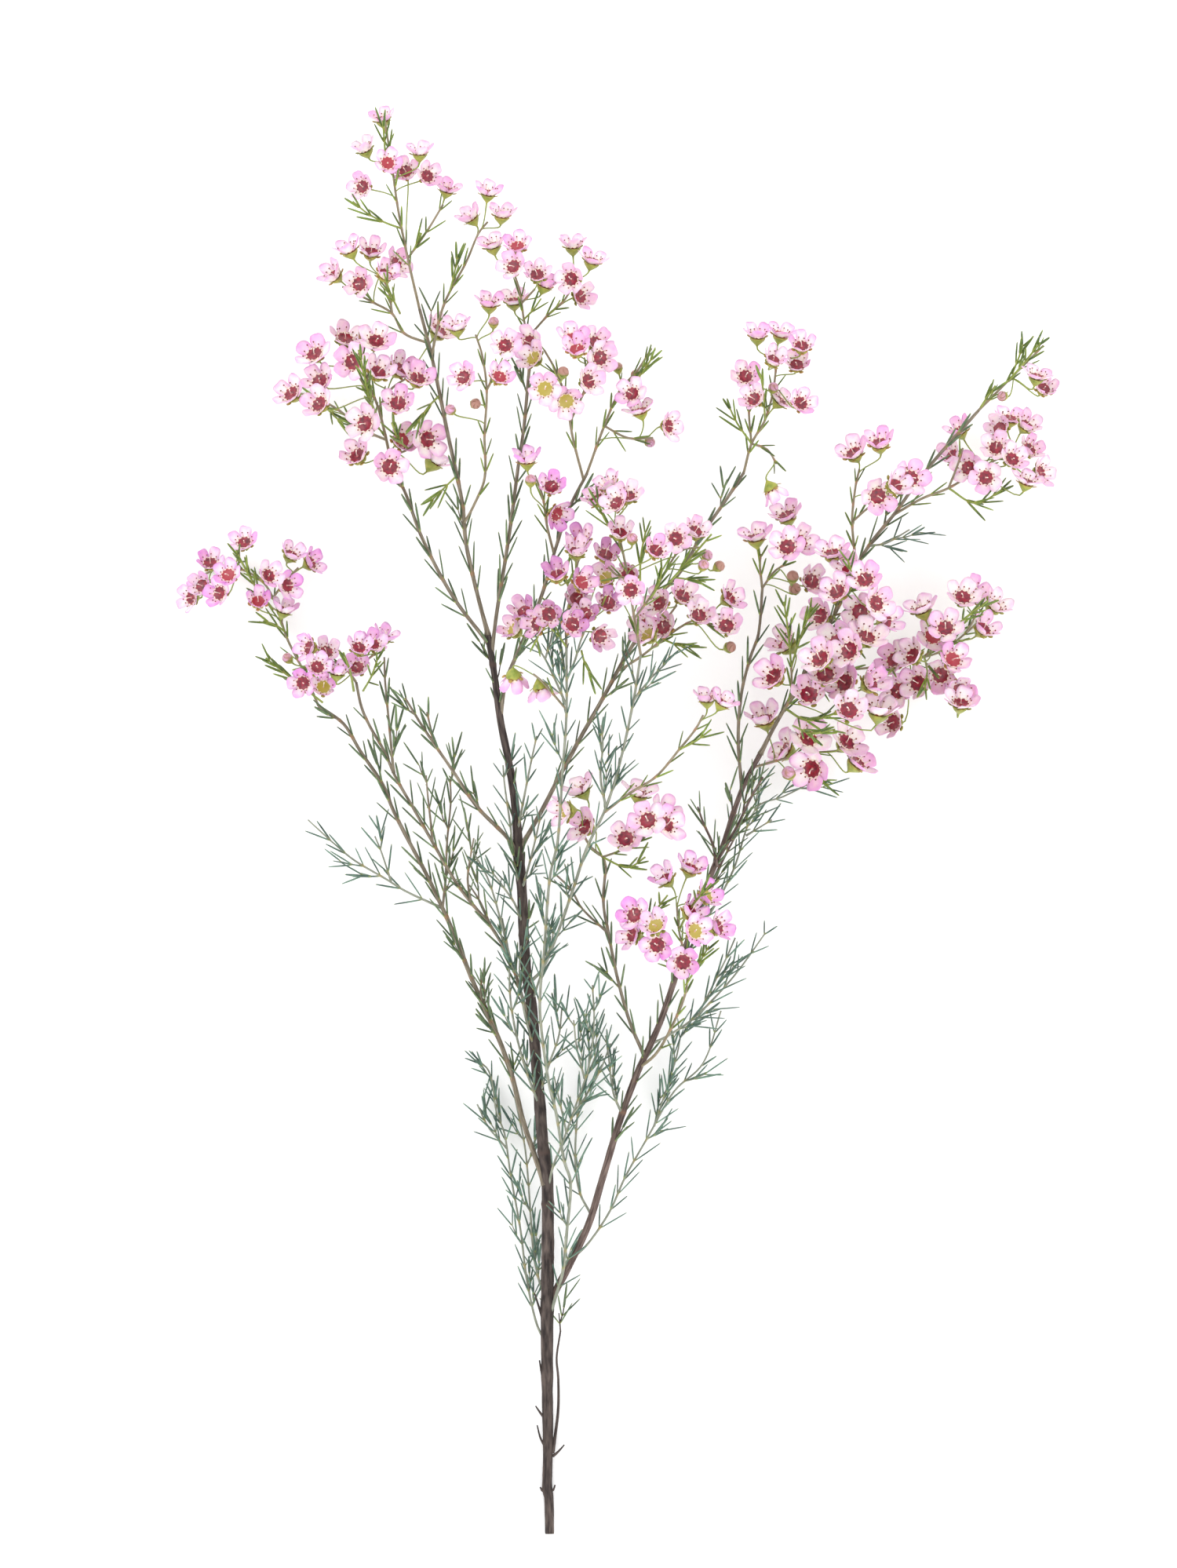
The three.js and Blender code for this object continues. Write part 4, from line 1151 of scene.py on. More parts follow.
# ---- the flower's own parts ----
@dataclass
class Corolla:
    """Five rounded petals that stand round the disc as a bowl, in mm at size 1."""

    claw: float = 2.5
    tip: float = BLOOM_RADIUS
    breadth: float = 4.2
    low: float = -1.0
    rise: float = 4.2
    hollow: float = 1.1
    thickness: float = 0.2

    def petal(self, seed: float) -> Mesh:
        """One petal that grows along x.

        Args:
            seed: for its small differences.

        Returns:
            The petal.
        """
        breadth = self.breadth * between(0.94, 1.05, seed)
        tip = self.tip * between(0.96, 1.02, seed + 1)
        twist = between(0.2, 0.34, seed + 2)
        waves = between(0.0, 6.3, seed + 3)
        curl = between(0.0, 1.5, seed + 4)

        def place(flat: Vector) -> Vector:
            """A point of the petal for a point of the disc.

            Args:
                flat: the point of the disc.

            Returns:
                The point of the petal.
            """
            edge = flat.length
            turn = math.atan2(flat.x, flat.y)
            far = (flat.y + 1) / 2
            ruffle = 1.0 + 0.04 * edge * math.sin(4 * turn + waves)
            out = self.claw + (tip - self.claw) * far * ruffle
            out -= curl * max(0.0, far - 0.7) ** 2 * 6
            side = breadth * flat.x * ruffle * (0.82 + 0.18 * far)
            height = self.low + self.rise * far**1.3
            height += self.hollow * flat.x * flat.x * (0.3 + 0.7 * far)
            height += twist * flat.x + 0.16 * edge**3 * math.sin(3 * turn + 2 * waves)
            return Vector((out, side, height))

        return round_sheet(4, 5, self.thickness, place)

    def build(self, seed: float) -> Mesh:
        """The five petals of one flower.

        Args:
            seed: for its small differences.

        Returns:
            The petals in one mesh.
        """
        bm = bmesh.new()
        for k in range(5):
            petal = self.petal(seed + 7.3 * k)
            lean = Matrix.Rotation(between(-0.05, 0.05, seed + k), 4, "Y")
            turn = Matrix.Rotation(k * math.tau / 5 + between(-0.04, 0.04, seed + 2 * k), 4, "Z")
            petal.transform(turn @ lean)
            add_part(bm, petal)
        for face in bm.faces:
            away = face.calc_center_median().xy.normalized()
            if face.normal.z - 0.8 * face.normal.xy.dot(away) < 0:
                face.material_index = FlowerSkin.PETAL_BACK.value
        return bm


@dataclass
class Centre:
    """Disc, style and ten stamens, in mm at size 1."""

    radius: float = 3.95
    style: float = 2.9
    stamens: int = 10
    ring: float = 4.1

    def disc(self) -> Mesh:
        """The shallow glossy bowl in the middle.

        Returns:
            The bowl.
        """
        r = self.radius
        bm = lathe(
            ((0, -1.7), (r * 0.8, -1.3), (r, -0.2), (r * 0.96, 0.12), (r * 0.86, -0.1), (r * 0.4, -0.5),
             (r * 0.14, -0.4), (0, -0.25)), 15
        )
        pattern = bm.verts.layers.float_vector.new("pattern")
        for vert in bm.verts:
            vert[pattern] = (vert.co.x / r, vert.co.y / r, 0.0)
        wear(bm, FlowerSkin.DISC)
        return bm

    def rod(self, points: list[Vector], radii: tuple[float, ...], tip: float) -> Mesh:
        """A filament or style with its head.

        Args:
            points: the middle line.
            radii: at each point.
            tip: how far along the head's colour starts, 2 for none.

        Returns:
            The rod.
        """
        bm = bmesh.new()
        last = len(points) - 1
        rings = []
        for i, point in enumerate(points):
            forward = (points[min(last, i + 1)] - points[max(0, i - 1)]).normalized()
            side = level(forward, Vector((0.3, 1.0, 0.2)))
            rings.append(axes(point, side, forward, Vector((radii[i], radii[i], radii[i]))))
        pattern = bm.verts.layers.float_vector.new("pattern")
        for i, ring in enumerate(loft(bm, 4, rings)):
            for vert in ring:
                vert[pattern] = (1.0 if i >= tip else 0.0, 0.0, 0.0)
        wear(bm, FlowerSkin.STAMEN)
        return bm

    def build(self, seed: float) -> Mesh:
        """The whole middle of one flower.

        Args:
            seed: for its small differences.

        Returns:
            Disc, style and stamens in one mesh.
        """
        bm = bmesh.new()
        add_part(bm, self.disc())
        lean = Matrix.Rotation(between(0, math.tau, seed), 3, "Z") @ Vector((0.6, 0.0, 0.0))
        style = [Vector((0, 0, -0.4)), Vector((0, 0, 0.6)) + 0.2 * lean, Vector((0, 0, 1.8)) + 0.9 * lean]
        style.append(Vector((0, 0, self.style)) + 2.1 * lean)
        add_part(bm, self.rod(style, (0.3, 0.2, 0.18, 0.36), 9))
        for k in range(self.stamens):
            turn = Matrix.Rotation((k + 0.5) * math.tau / self.stamens + between(-0.1, 0.1, seed + k), 3, "Z")
            out = self.ring + between(-0.2, 0.9, seed + 3 * k)
            high = between(0.8, 2.2, seed + 5 * k)
            foot, knee = Vector((self.ring - 0.45, 0, -0.3)), Vector((self.ring - 0.1, 0, 0.4))
            head, end = Vector((out, 0, high)), Vector((out + 0.1, 0, high + 0.65))
            line = [foot, knee, head, head.lerp(end, 0.25), head.lerp(end, 0.7), end]
            add_part(bm, self.rod([turn @ p for p in line], (0.45, 0.3, 0.15, 0.4, 0.4, 0.18), 3))
        return bm


@dataclass
class Cup:
    """The ribbed cup under a bloom with its five sepals, in mm at size 1."""

    depth: float = CALYX_DEPTH
    radius: float = 3.95
    ribs: float = 0.05

    def build(self, seed: float) -> Mesh:
        """The cup of a flower.

        Args:
            seed: for its small differences.

        Returns:
            The cup and its sepals in one mesh.
        """
        r, foot = self.radius, -self.depth
        bm = lathe(
            ((0, foot - 0.1), (0.42, foot), (0.75, foot + 0.5), (1.9, foot + 1.7), (r * 0.84, foot + 3.3),
             (r, -1.9), (r * 1.01, -1.35), (r * 0.8, -1.4), (0, -1.6)), 10
        )
        pattern = bm.verts.layers.float_vector.new("pattern")
        for vert in bm.verts:
            turn = math.atan2(vert.co.y, vert.co.x)
            vert.co.xy *= 1 + self.ribs * math.cos(5 * turn)
            vert[pattern] = (1 + vert.co.z / self.depth, 0.0, 0.0)
        whole = bmesh.new()
        add_part(whole, bm)
        for k in range(5):
            turn = Matrix.Rotation((k + 0.5) * math.tau / 5, 4, "Z")
            wide = between(1.0, 1.3, seed + k)

            def place(flat: Vector) -> Vector:
                """A point of a sepal for a point of the disc."""
                out = r + 0.7 + 1.1 * flat.y
                return Vector((out, wide * flat.x, -1.75 + 0.5 * (flat.y + 1)))

            sepal = round_sheet(2, 2, 0.18, place)
            marks = sepal.verts.layers.float_vector["pattern"]
            for vert in sepal.verts:
                vert[marks] = (0.95, 0.0, 0.0)
            sepal.transform(turn)
            add_part(whole, sepal)
        return whole


@dataclass
class Bud:
    """A closed bloom: petals folded over each other in a short cup, in mm at size 1."""

    depth: float = BUD_DEPTH
    radius: float = 2.8
    tip: float = BUD_TIP

    def ball(self, seed: float) -> Mesh:
        """The folded petals.

        Args:
            seed: for its small differences.

        Returns:
            The ball.
        """
        bm = bmesh.new()
        bmesh.ops.create_uvsphere(bm, u_segments=15, v_segments=7, radius=1.0)
        pattern = bm.verts.layers.float_vector.new("pattern")
        turned = between(0, math.tau, seed)
        for vert in bm.verts:
            turn = math.atan2(vert.co.y, vert.co.x) + 1.1 * vert.co.z + turned
            share = (turn * 5 / math.tau) % 1.0
            fold = 1 - abs(2 * share - 1)
            width = self.radius * (0.92 + 0.1 * fold * (1 - vert.co.z**2))
            up = (vert.co.z + 1) / 2
            low, high = -0.5 * self.depth, self.tip
            vert[pattern] = (up, fold, 0.0)
            vert.co = Vector((vert.co.x * width, vert.co.y * width, low + (high - low) * up))
        wear(bm, FlowerSkin.BUD)
        return bm

    def cup(self) -> Mesh:
        """The green cup that holds them.

        Returns:
            The cup.
        """
        r, foot = self.radius * 0.92, -self.depth
        bm = lathe(
            ((0, foot - 0.1), (0.42, foot), (0.8, foot + 0.5), (1.8, foot + 1.6), (r, foot + 2.9),
             (r * 1.06, foot + 3.6), (r * 0.9, foot + 3.5), (0, foot + 3)), 10
        )
        pattern = bm.verts.layers.float_vector.new("pattern")
        for vert in bm.verts:
            turn = math.atan2(vert.co.y, vert.co.x)
            vert.co.xy *= 1 + 0.05 * math.cos(5 * turn)
            if vert.co.z > foot + 3.5:
                vert.co.z += 0.35 * math.cos(5 * turn)
            vert[pattern] = ((vert.co.z - foot) / 4.2, 0.0, 0.0)
        return bm


@dataclass
class Needle:
    """A narrow leaf with a hooked tip, 1 long and 1 wide before it is scaled."""

    sides: int = 4
    flatness: float = 0.7

    def build(self, seed: float) -> Mesh:
        """The blade along z, bent towards x.

        Args:
            seed: what makes it more or less bent.

        Returns:
            The blade.
        """
        bm = bmesh.new()
        curve = between(0.04, 0.13, seed)
        widths = ((0.0, 0.3), (0.08, 0.44), (0.4, 0.5), (0.75, 0.45), (0.95, 0.3), (1.0, 0.08))
        rings = []
        for along, width in widths:
            bent = curve * along * along - 0.03 * max(0.0, along - 0.9) * 10
            ring = Matrix.Diagonal((width * self.flatness, width, 1.0, 1.0))
            ring.translation = Vector((bent, 0.0, along))
            rings.append(ring)
        pattern = bm.verts.layers.float_vector.new("pattern")
        for (along, _), ring in zip(widths, loft(bm, self.sides, rings)):
            for vert in ring:
                vert[pattern] = (along, 0.0, 0.0)
        bmesh.ops.recalc_face_normals(bm, faces=bm.faces)
        wear(bm, GreenSkin.NEEDLE)
        return bm


FLOWER_VARIANTS = 6
BUD_VARIANTS = 3
NEEDLE_VARIANTS = 3


@lru_cache
def flower_stamps() -> list[tuple[Stamp, Stamp, Stamp]]:
    """Corolla, middle and cup of each kind of flower.

    Returns:
        The templates, variant by variant.
    """
    stamps = []
    for k in range(FLOWER_VARIANTS):
        seed = 31.0 * k
        corolla = Stamp("corolla", Corolla().build(seed))
        centre = Stamp("centre", Centre().build(seed))
        stamps.append((corolla, centre, Stamp("cup", Cup().build(seed))))
    return stamps


@lru_cache
def bud_stamps() -> list[tuple[Stamp, Stamp]]:
    """Folded petals and cup of each kind of bud.

    Returns:
        The templates, variant by variant.
    """
    stamps = []
    for k in range(BUD_VARIANTS):
        balls, cups = bmesh.new(), bmesh.new()
        add_part(balls, Bud().ball(17.0 * k))
        add_part(cups, Bud().cup())
        stamps.append((Stamp("bud", balls), Stamp("bud_cup", cups)))
    return stamps


@lru_cache
def needle_stamps() -> list[Stamp]:
    """The needles, each bent a little differently."""
    return [Stamp("needle", Needle().build(5.0 * k)) for k in range(NEEDLE_VARIANTS)]


# ---- blooms in place ----
@dataclass
class Bloom:
    """One flower or bud: where it stands, which way it looks, and the stalk's root."""

    kind: Kind
    seed: float
    size: float
    at: Vector
    facing: Vector
    across: Vector
    root: Station | None = None

    # how much narrower and taller a folded corolla is
    NARROWING: ClassVar[float] = 0.27
    STRETCH: ClassVar[float] = 0.8
    # where roots are tried: the first on a main stem and on a fork, and the way to the next
    ON_STEM: ClassVar[float] = 7 * MM
    ON_FORK: ClassVar[float] = 2 * MM
    NEXT: ClassVar[float] = 1.5 * MM
    # what makes a root worse, as metres of stalk that is too long or too short
    BACKWARD: ClassVar[float] = 6 * MM
    CROSSING: ClassVar[float] = 7 * MM
    SHALLOW: ClassVar[float] = 4.0
    ROOM_BELOW: ClassVar[float] = 6 * MM

    @property
    def foot(self) -> Vector:
        """Where its stalk ends.

        Returns:
            The point, kept over the surface.
        """
        depth = BUD_DEPTH if self.kind is Kind.BUD else CALYX_DEPTH
        foot = self.at - self.facing * (depth * self.size * MM)
        foot.z = max(foot.z, LOWEST_FOOT)
        return foot

    @property
    def rim(self) -> float:
        """The radius of its face."""
        return self.size * (BUD_RADIUS if self.kind is Kind.BUD else BLOOM_RADIUS) * MM

    def hides(self, low: Vector, high: Vector) -> bool:
        """Whether a line from low to high passes through its face.

        Args:
            low: one end of the line.
            high: its other end.

        Returns:
            Whether it does.
        """
        lows, highs = low - self.at, high - self.at
        below, above = lows.dot(self.facing), highs.dot(self.facing)
        if below * above >= 0:
            return False
        through = lows.lerp(highs, below / (below - above))
        return through.length < self.rim

    def take_root(self, lines: list[Line], beside: list["Bloom"]) -> None:
        """Picks the place on a stem where its stalk starts.

        Args:
            lines: the stems of its head, the first one longest.
            beside: the other blooms of the head.
        """
        best = math.inf
        for index, line in enumerate(lines):
            s = min(self.ON_FORK if index else self.ON_STEM, line.length * 0.6)
            while s <= line.length - 0.5 * MM:
                station = line.at(s)
                gap = self.foot - station.point
                away = gap.length
                depth = (self.at - station.point).dot(self.facing)
                cost = abs(away - self.size * STALK_LENGTH)
                cost += self.BACKWARD * max(0.0, 0.3 - gap.dot(station.forward) / away)
                cost += self.SHALLOW * max(0.0, self.ROOM_BELOW - depth)
                cost += self.CROSSING * sum(other.hides(station.point, self.foot) for other in beside)
                if cost < best:
                    best = cost
                    self.root = station
                s += self.NEXT

    def stalk(self) -> Line:
        """The line of its stalk, bent from its stem into its foot.

        Returns:
            The line, from root to foot.
        """
        gap = self.foot - self.root.point
        pull = gap.length
        leaving = (self.root.forward * 0.4 + gap.normalized() * 0.6) * pull
        coming = self.facing * pull * 0.8
        shares = [k / STALK_STEPS for k in range(STALK_STEPS + 1)]
        points = [bend(self.root.point, leaving, self.foot, coming, share) for share in shares]
        for point in points:
            point.z = max(point.z, LOWEST_STALK)
        return Line(points, [(0.28 + 0.12 * share**4) * MM for share in shares])

    def press(self, flowers: Mesh, greens: Mesh, folded: float) -> None:
        """Adds its parts to the head's meshes.

        Args:
            flowers: takes petals, disc, stamens or folded petals.
            greens: takes the cup.
            folded: how far the least folded bloom of the head is folded, 0 to 1.
        """
        unit = self.size * MM
        tone = chance(self.seed + 0.5)
        place = axes(self.at, self.across, self.facing, Vector((unit, unit, unit)))
        if self.kind is Kind.BUD:
            ball, cup = bud_stamps()[int(chance(self.seed) * BUD_VARIANTS)]
            ball.press(flowers, place, tone)
            cup.press(greens, place, tone)
            return
        corolla, centre, cup = flower_stamps()[int(chance(self.seed) * FLOWER_VARIANTS)]
        closed = folded + (1.0 - folded) * chance(self.seed + 2) ** 2
        wide, high = unit * (1.0 - self.NARROWING * closed), unit * (0.9 + self.STRETCH * closed)
        corolla.press(flowers, axes(self.at, self.across, self.facing, Vector((wide, wide, high))), tone)
        ripe = YELLOW_TONE if self.kind is Kind.YELLOW else RED_TONES * tone
        centre.press(flowers, place, ripe)
        cup.press(greens, place, tone)


class CadBlooms:
    """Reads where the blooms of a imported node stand."""

    SLACK = 0.4 * MM  # between a bloom's middle and its place in the table
    TIP_REACH = 3 * MM  # between a bud's tip and its place
    EDGE_SLACK = 0.05 * MM

    def __init__(self, node: str) -> None:
        """Merges a copy of the node's loose triangles.

        Args:
            node: its name in the frame.
        """
        self.bm = bmesh.new()
        self.bm.from_mesh(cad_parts[node].data)
        bmesh.ops.remove_doubles(self.bm, verts=self.bm.verts, dist=1e-6)
        self.bm.normal_update()
        self.bm.verts.ensure_lookup_table()
        self.plan = KDTree(len(self.bm.verts))
        for vert in self.bm.verts:
            self.plan.insert((vert.co.x, vert.co.y, 0.0), vert.index)
        self.plan.balance()

    def spokes(self, vert: bmesh.types.BMVert, length: float) -> list[Vector]:
        """The edges of about a length that leave a vertex, as vectors."""
        ways = [edge.other_vert(vert).co - vert.co for edge in vert.link_edges]
        return [way for way in ways if abs(way.length - length) < self.EDGE_SLACK]

    def find(self, plan: Vector, kind: Kind, size: float, seed: float) -> Bloom:
        """The bloom over a place.

        Args:
            plan: the place, with z at 0.
            kind: of the bloom.
            size: of the bloom.
            seed: of the bloom.

        Returns:
            The bloom.

        Raises:
            ValueError: if the node has no bloom there.
        """
        unit = size * MM
        found = None
        closest = self.SLACK
        reach = self.TIP_REACH if kind is Kind.BUD else self.SLACK
        for _, index, _ in self.plan.find_range(plan, reach):
            vert = self.bm.verts[index]
            if kind is Kind.BUD:
                middle = vert.co - vert.normal * (BUD_TIP * unit)
                ways = self.spokes(vert, BUD_EDGE * unit)
            else:
                middle = vert.co
                ways = self.spokes(vert, PETAL_TIP * unit)
            off = (middle.xy - plan.xy).length
            if len(ways) < 2 or off > closest:
                continue
            closest = off
            across = level(vert.normal, ways[0])
            found = Bloom(kind, seed, size, middle.copy(), vert.normal.copy(), across)
        if found is None:
            raise ValueError(f"no bloom at {plan}")
        return found


# ---- needles ----
@dataclass
class Bush:
    """The meshes that a growing stem is added to."""

    wood: Mesh
    leaves: Mesh


@dataclass(frozen=True)
class Habit:
    """How the needles of a stem grow: steps in metres, sizes in mm, angles in radians."""

    step: float
    length: tuple[float, float]
    angle: tuple[float, float] = (0.35, 0.75)
    width: tuple[float, float] = (0.95, 1.2)
    lost: float = 0.05
    sprigs: float = 0.0
    sprig_length: tuple[float, float] = (5.0, 13.0)

    def young(self) -> "Habit":
        """The needles of a side twig: shorter, and closer to it."""
        low, high = self.length
        return Habit(self.step, (low * 0.75, high * 0.9), angle=(0.2, 0.6), width=self.width, lost=self.lost)


class Foliage:
    """Pairs of needles along stems, kept clear of the blooms' faces."""

    LOWEST_TIP = 0.4 * MM
    LOWEST_AIM = 1.5 * MM  # a needle that would end lower is turned upwards
    LOWEST_SPRIG = 3 * MM
    PROBES = (0.45, 0.75, 1.0)  # shares of a needle's length that are tested
    NEARBY = 10 * MM  # how far off a bloom can be in the way
    KEEP_UNDER = -1.5 * MM  # free space under and over a bloom's face, and round its rim
    KEEP_OVER = 4.5 * MM
    KEEP_ROUND = 0.6 * MM
    TAPER = 0.4  # how much shorter the needles at the tip are
    SPRIG_RADII = (0.34 * MM, 0.3 * MM, 0.22 * MM)
    PAIR_STEP = 4.4 * MM

    def __init__(self, blooms: list[Bloom]) -> None:
        """Remembers every bloom of the stem.

        Args:
            blooms: of all heads.
        """
        self.blooms = blooms
        self.tree = KDTree(len(blooms))
        for index, bloom in enumerate(blooms):
            self.tree.insert(bloom.at, index)
        self.tree.balance()

    def is_free(self, foot: Vector, tip: Vector) -> bool:
        """Whether a needle from foot to tip stays out of the blooms and over the surface.

        Args:
            foot: where it starts.
            tip: where it ends.

        Returns:
            Whether it does.
        """
        if tip.z < self.LOWEST_TIP:
            return False
        for share in self.PROBES:
            point = foot.lerp(tip, share)
            for _, index, _ in self.tree.find_range(point, self.NEARBY):
                bloom = self.blooms[index]
                away = point - bloom.at
                inside = self.KEEP_UNDER < away.dot(bloom.facing) < self.KEEP_OVER
                if inside and away.length < bloom.rim + self.KEEP_ROUND:
                    return False
        return True

    def grow(
        self, bush: Bush, line: Line, span: tuple[float, float], habit: Habit, seed: float
    ) -> list[float]:
        """Grows crossed pairs of needles along a line.

        Args:
            bush: takes the needles and the side twigs.
            line: the stem's middle line.
            span: where they start and end, as shares of its length.
            habit: how they grow.
            seed: for its small differences.

        Returns:
            The distances along the line at which they grow.
        """
        knots = []
        s = span[0] * line.length + 0.3 * habit.step
        pair = 0
        while s < span[1] * line.length - 0.2 * MM:
            station = line.at(s)
            first = level(station.forward, Vector((0.0, 0.0, 1.0)))
            turn = pair * math.pi / 2 + 0.8 + between(-0.3, 0.3, seed + s)
            out = Matrix.Rotation(turn, 3, station.forward) @ first
            share = 1.0 - self.TAPER * (s / line.length) ** 5
            for side in (1, -1):
                self.add(bush.leaves, station, out * side, habit, seed + 1000 * s + side, share)
            if habit.sprigs and chance(seed + 7 * pair) < habit.sprigs:
                self.sprig(bush, station, out, habit, seed + pair)
            knots.append(s)
            pair += 1
            s += habit.step * between(0.7, 1.3, seed + pair)
        return knots

    def add(
        self, leaves: Mesh, station: Station, side: Vector, habit: Habit, seed: float,
        share: float = 1.0,
    ) -> None:
        """Adds one needle if it has room.

        Args:
            leaves: the mesh that it is added to.
            station: where it grows.
            side: the way out of the stem.
            habit: how it grows.
            seed: for its small differences.
            share: how long it is against its habit.
        """
        if chance(seed + 9) < habit.lost:
            return
        length = between(*habit.length, seed) * share * MM
        angle = between(*habit.angle, seed + 3)
        if station.point.z + side.z * math.sin(angle) * length < self.LOWEST_AIM:
            side = level(station.forward, Vector((side.x, side.y, abs(side.z) + 0.2)))
        out = (station.forward * math.cos(angle) + side * math.sin(angle)).normalized()
        foot = station.point + side * (station.radius * 0.7)
        if not self.is_free(foot, foot + out * length):
            return
        inward = level(out, station.forward - side)
        width = between(*habit.width, seed + 5) * MM
        stamp = needle_stamps()[int(chance(seed + 4) * NEEDLE_VARIANTS)]
        stamp.press(leaves, axes(foot, inward, out, Vector((width, width, length))), chance(seed + 6))

    def sprig(self, bush: Bush, station: Station, side: Vector, habit: Habit, seed: float) -> None:
        """Adds the short side twig that grows between a needle and its stem.

        Args:
            bush: takes its needles and its wood.
            station: where it grows.
            side: the way out of the stem.
            habit: how the stem's needles grow.
            seed: for its small differences.
        """
        out = (station.forward + side * between(0.4, 0.9, seed)).normalized()
        reach = between(*habit.sprig_length, seed + 1) * MM
        if station.point.z + out.z * reach < self.LOWEST_SPRIG:
            out.z = abs(out.z) * 0.5
            out.normalize()
        middle = station.point + out * (0.5 * reach)
        end = station.point + (out + station.forward * 0.25).normalized() * reach
        line = Line([station.point, middle, end], list(self.SPRIG_RADII))
        if not self.is_free(middle, end):
            return
        add_stem(bush.wood, line, FINE_SIDES, [], 0.0)
        young = habit.young()
        pairs = max(2, round(reach / self.PAIR_STEP))
        for k in range(pairs):
            axil = line.at(reach * (k + 1) / pairs)
            first = level(axil.forward, Vector((0.2, 0.3, 1.0)))
            turn = Matrix.Rotation(k * math.pi / 2 + seed, 3, axil.forward)
            for way in (1, -1):
                self.add(bush.leaves, axil, turn @ first * way, young, seed + k + way)


HABITS = {
    Growth.TRUNK: Habit(
        step=8 * MM, length=(9, 12), angle=(0.3, 0.6), width=(1.0, 1.2), lost=0.35, sprigs=0.35,
    ),
    Growth.LIMB: Habit(
        step=11 * MM, length=(9, 12), angle=(0.25, 0.6), width=(1.1, 1.3), lost=0.25, sprigs=0.4,
    ),
    Growth.TWIG: Habit(
        step=9.5 * MM, length=(10, 14), angle=(0.2, 0.55), width=(1.1, 1.35), lost=0.08, sprigs=0.2,
    ),
    Growth.SHOOT: Habit(
        step=9 * MM, length=(10, 14), angle=(0.3, 0.7), width=(0.9, 1.1), lost=0.05, sprigs=0.45,
    ),
    Growth.SPRAY: Habit(step=8.5 * MM, length=(7, 10), angle=(0.25, 0.65), width=(1.0, 1.25), lost=0.1),
    Growth.TUFT: Habit(step=4.6 * MM, length=(8, 12), angle=(0.2, 0.6), width=(1.15, 1.4), lost=0.0),
}


# ---- the stem's parts ----
@dataclass(frozen=True)
class Girth:
    """How a packed stem is drawn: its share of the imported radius, its sides and its knots."""

    slimness: float
    sides: int
    swelling: float = 0.16


GIRTHS = {
    Growth.TRUNK: Girth(1.0, 14),
    Growth.LIMB: Girth(0.95, 10),
    Growth.TWIG: Girth(0.85, 7),
    Growth.SHOOT: Girth(0.75, 7),
    Growth.SPRAY: Girth(0.8, 6, 0.25),
}
TRUNK_KNOTS = [s * MM for s in range(26, 590, 23)]


@dataclass
class Branch:
    """A woody stem or a leafy shoot with its forks.

    Its lines are texts of layout places, with ";" between two lines.
    """

    name: str
    growth: Growth
    stems: str
    leaves: tuple[float, float] = (0.12, 1)
    twigs: str = ""
    stubs: str = ""

    FORK_LEAVES: ClassVar[tuple[float, float]] = (0.08, 1.0)

    def build(self, foliage: Foliage) -> None:
        """Makes its bark and its needles.

        Args:
            foliage: grows the needles.
        """
        bush = Bush(bmesh.new(), bmesh.new())
        habit, girth = HABITS[self.growth], GIRTHS[self.growth]
        seed = 10.0 * len(self.name) + ord(self.name[0])
        for index, line in enumerate(Line.read_all(self.stems, BRANCH_STEP)):
            self.weather(line, seed)
            span = self.leaves if index == 0 else self.FORK_LEAVES
            knots = foliage.grow(bush, line, span, habit, seed + index)
            if self.growth is Growth.TRUNK:
                knots = TRUNK_KNOTS
            add_stem(bush.wood, line, girth.sides, knots, girth.swelling)
        if self.growth is Growth.TRUNK:
            self.cut(bush.wood)
        for index, line in enumerate(Line.read_all(self.twigs, BRANCH_STEP)):
            knots = foliage.grow(bush, line, self.FORK_LEAVES, HABITS[Growth.SHOOT], seed + 60 + index)
            add_stem(bush.wood, line, FINE_SIDES, knots, FINE_SWELLING)
        for line in Line.read_all(self.stubs, BRANCH_STEP):
            add_stem(bush.wood, line, FINE_SIDES, [], 0.0)
        make_piece(f"{self.name}_bark", bush.wood, self.name, (STEM_FINISHES[self.growth], CUT_WOOD))
        if bush.leaves.faces:
            finish = DARK_NEEDLE if self.growth is Growth.SHOOT else MIXED_NEEDLE
            make_piece(f"{self.name}_needles", bush.leaves, self.name, (CUP, finish))
        else:
            bush.leaves.free()

    def weather(self, line: Line, seed: float) -> None:
        """Makes a line's radius uneven, and wider where it leaves its parent.

        Args:
            line: whose radii change.
            seed: for its small differences.
        """
        for i, s in enumerate(line.along):
            uneven = noise.noise(Vector((s * 140, seed, 0.0))) * 0.1
            flare = 0.0 if self.growth is Growth.TRUNK else 0.5 * math.exp(-s / (2.5 * MM))
            line.radii[i] *= GIRTHS[self.growth].slimness * (1 + uneven + flare)

    def cut(self, wood: Mesh) -> None:
        """Gives the trunk's lower end its cut face.

        Args:
            wood: the trunk's mesh.
        """
        grain = wood.verts.layers.float_vector["grain"]
        end = min(wood.faces, key=lambda face: face.calc_center_median().y)
        end.material_index = TwigSkin.CUT.value
        middle = bmesh.ops.poke(wood, faces=[end])["verts"][0]
        middle[grain] = (0.0, 0.0, 0.0)


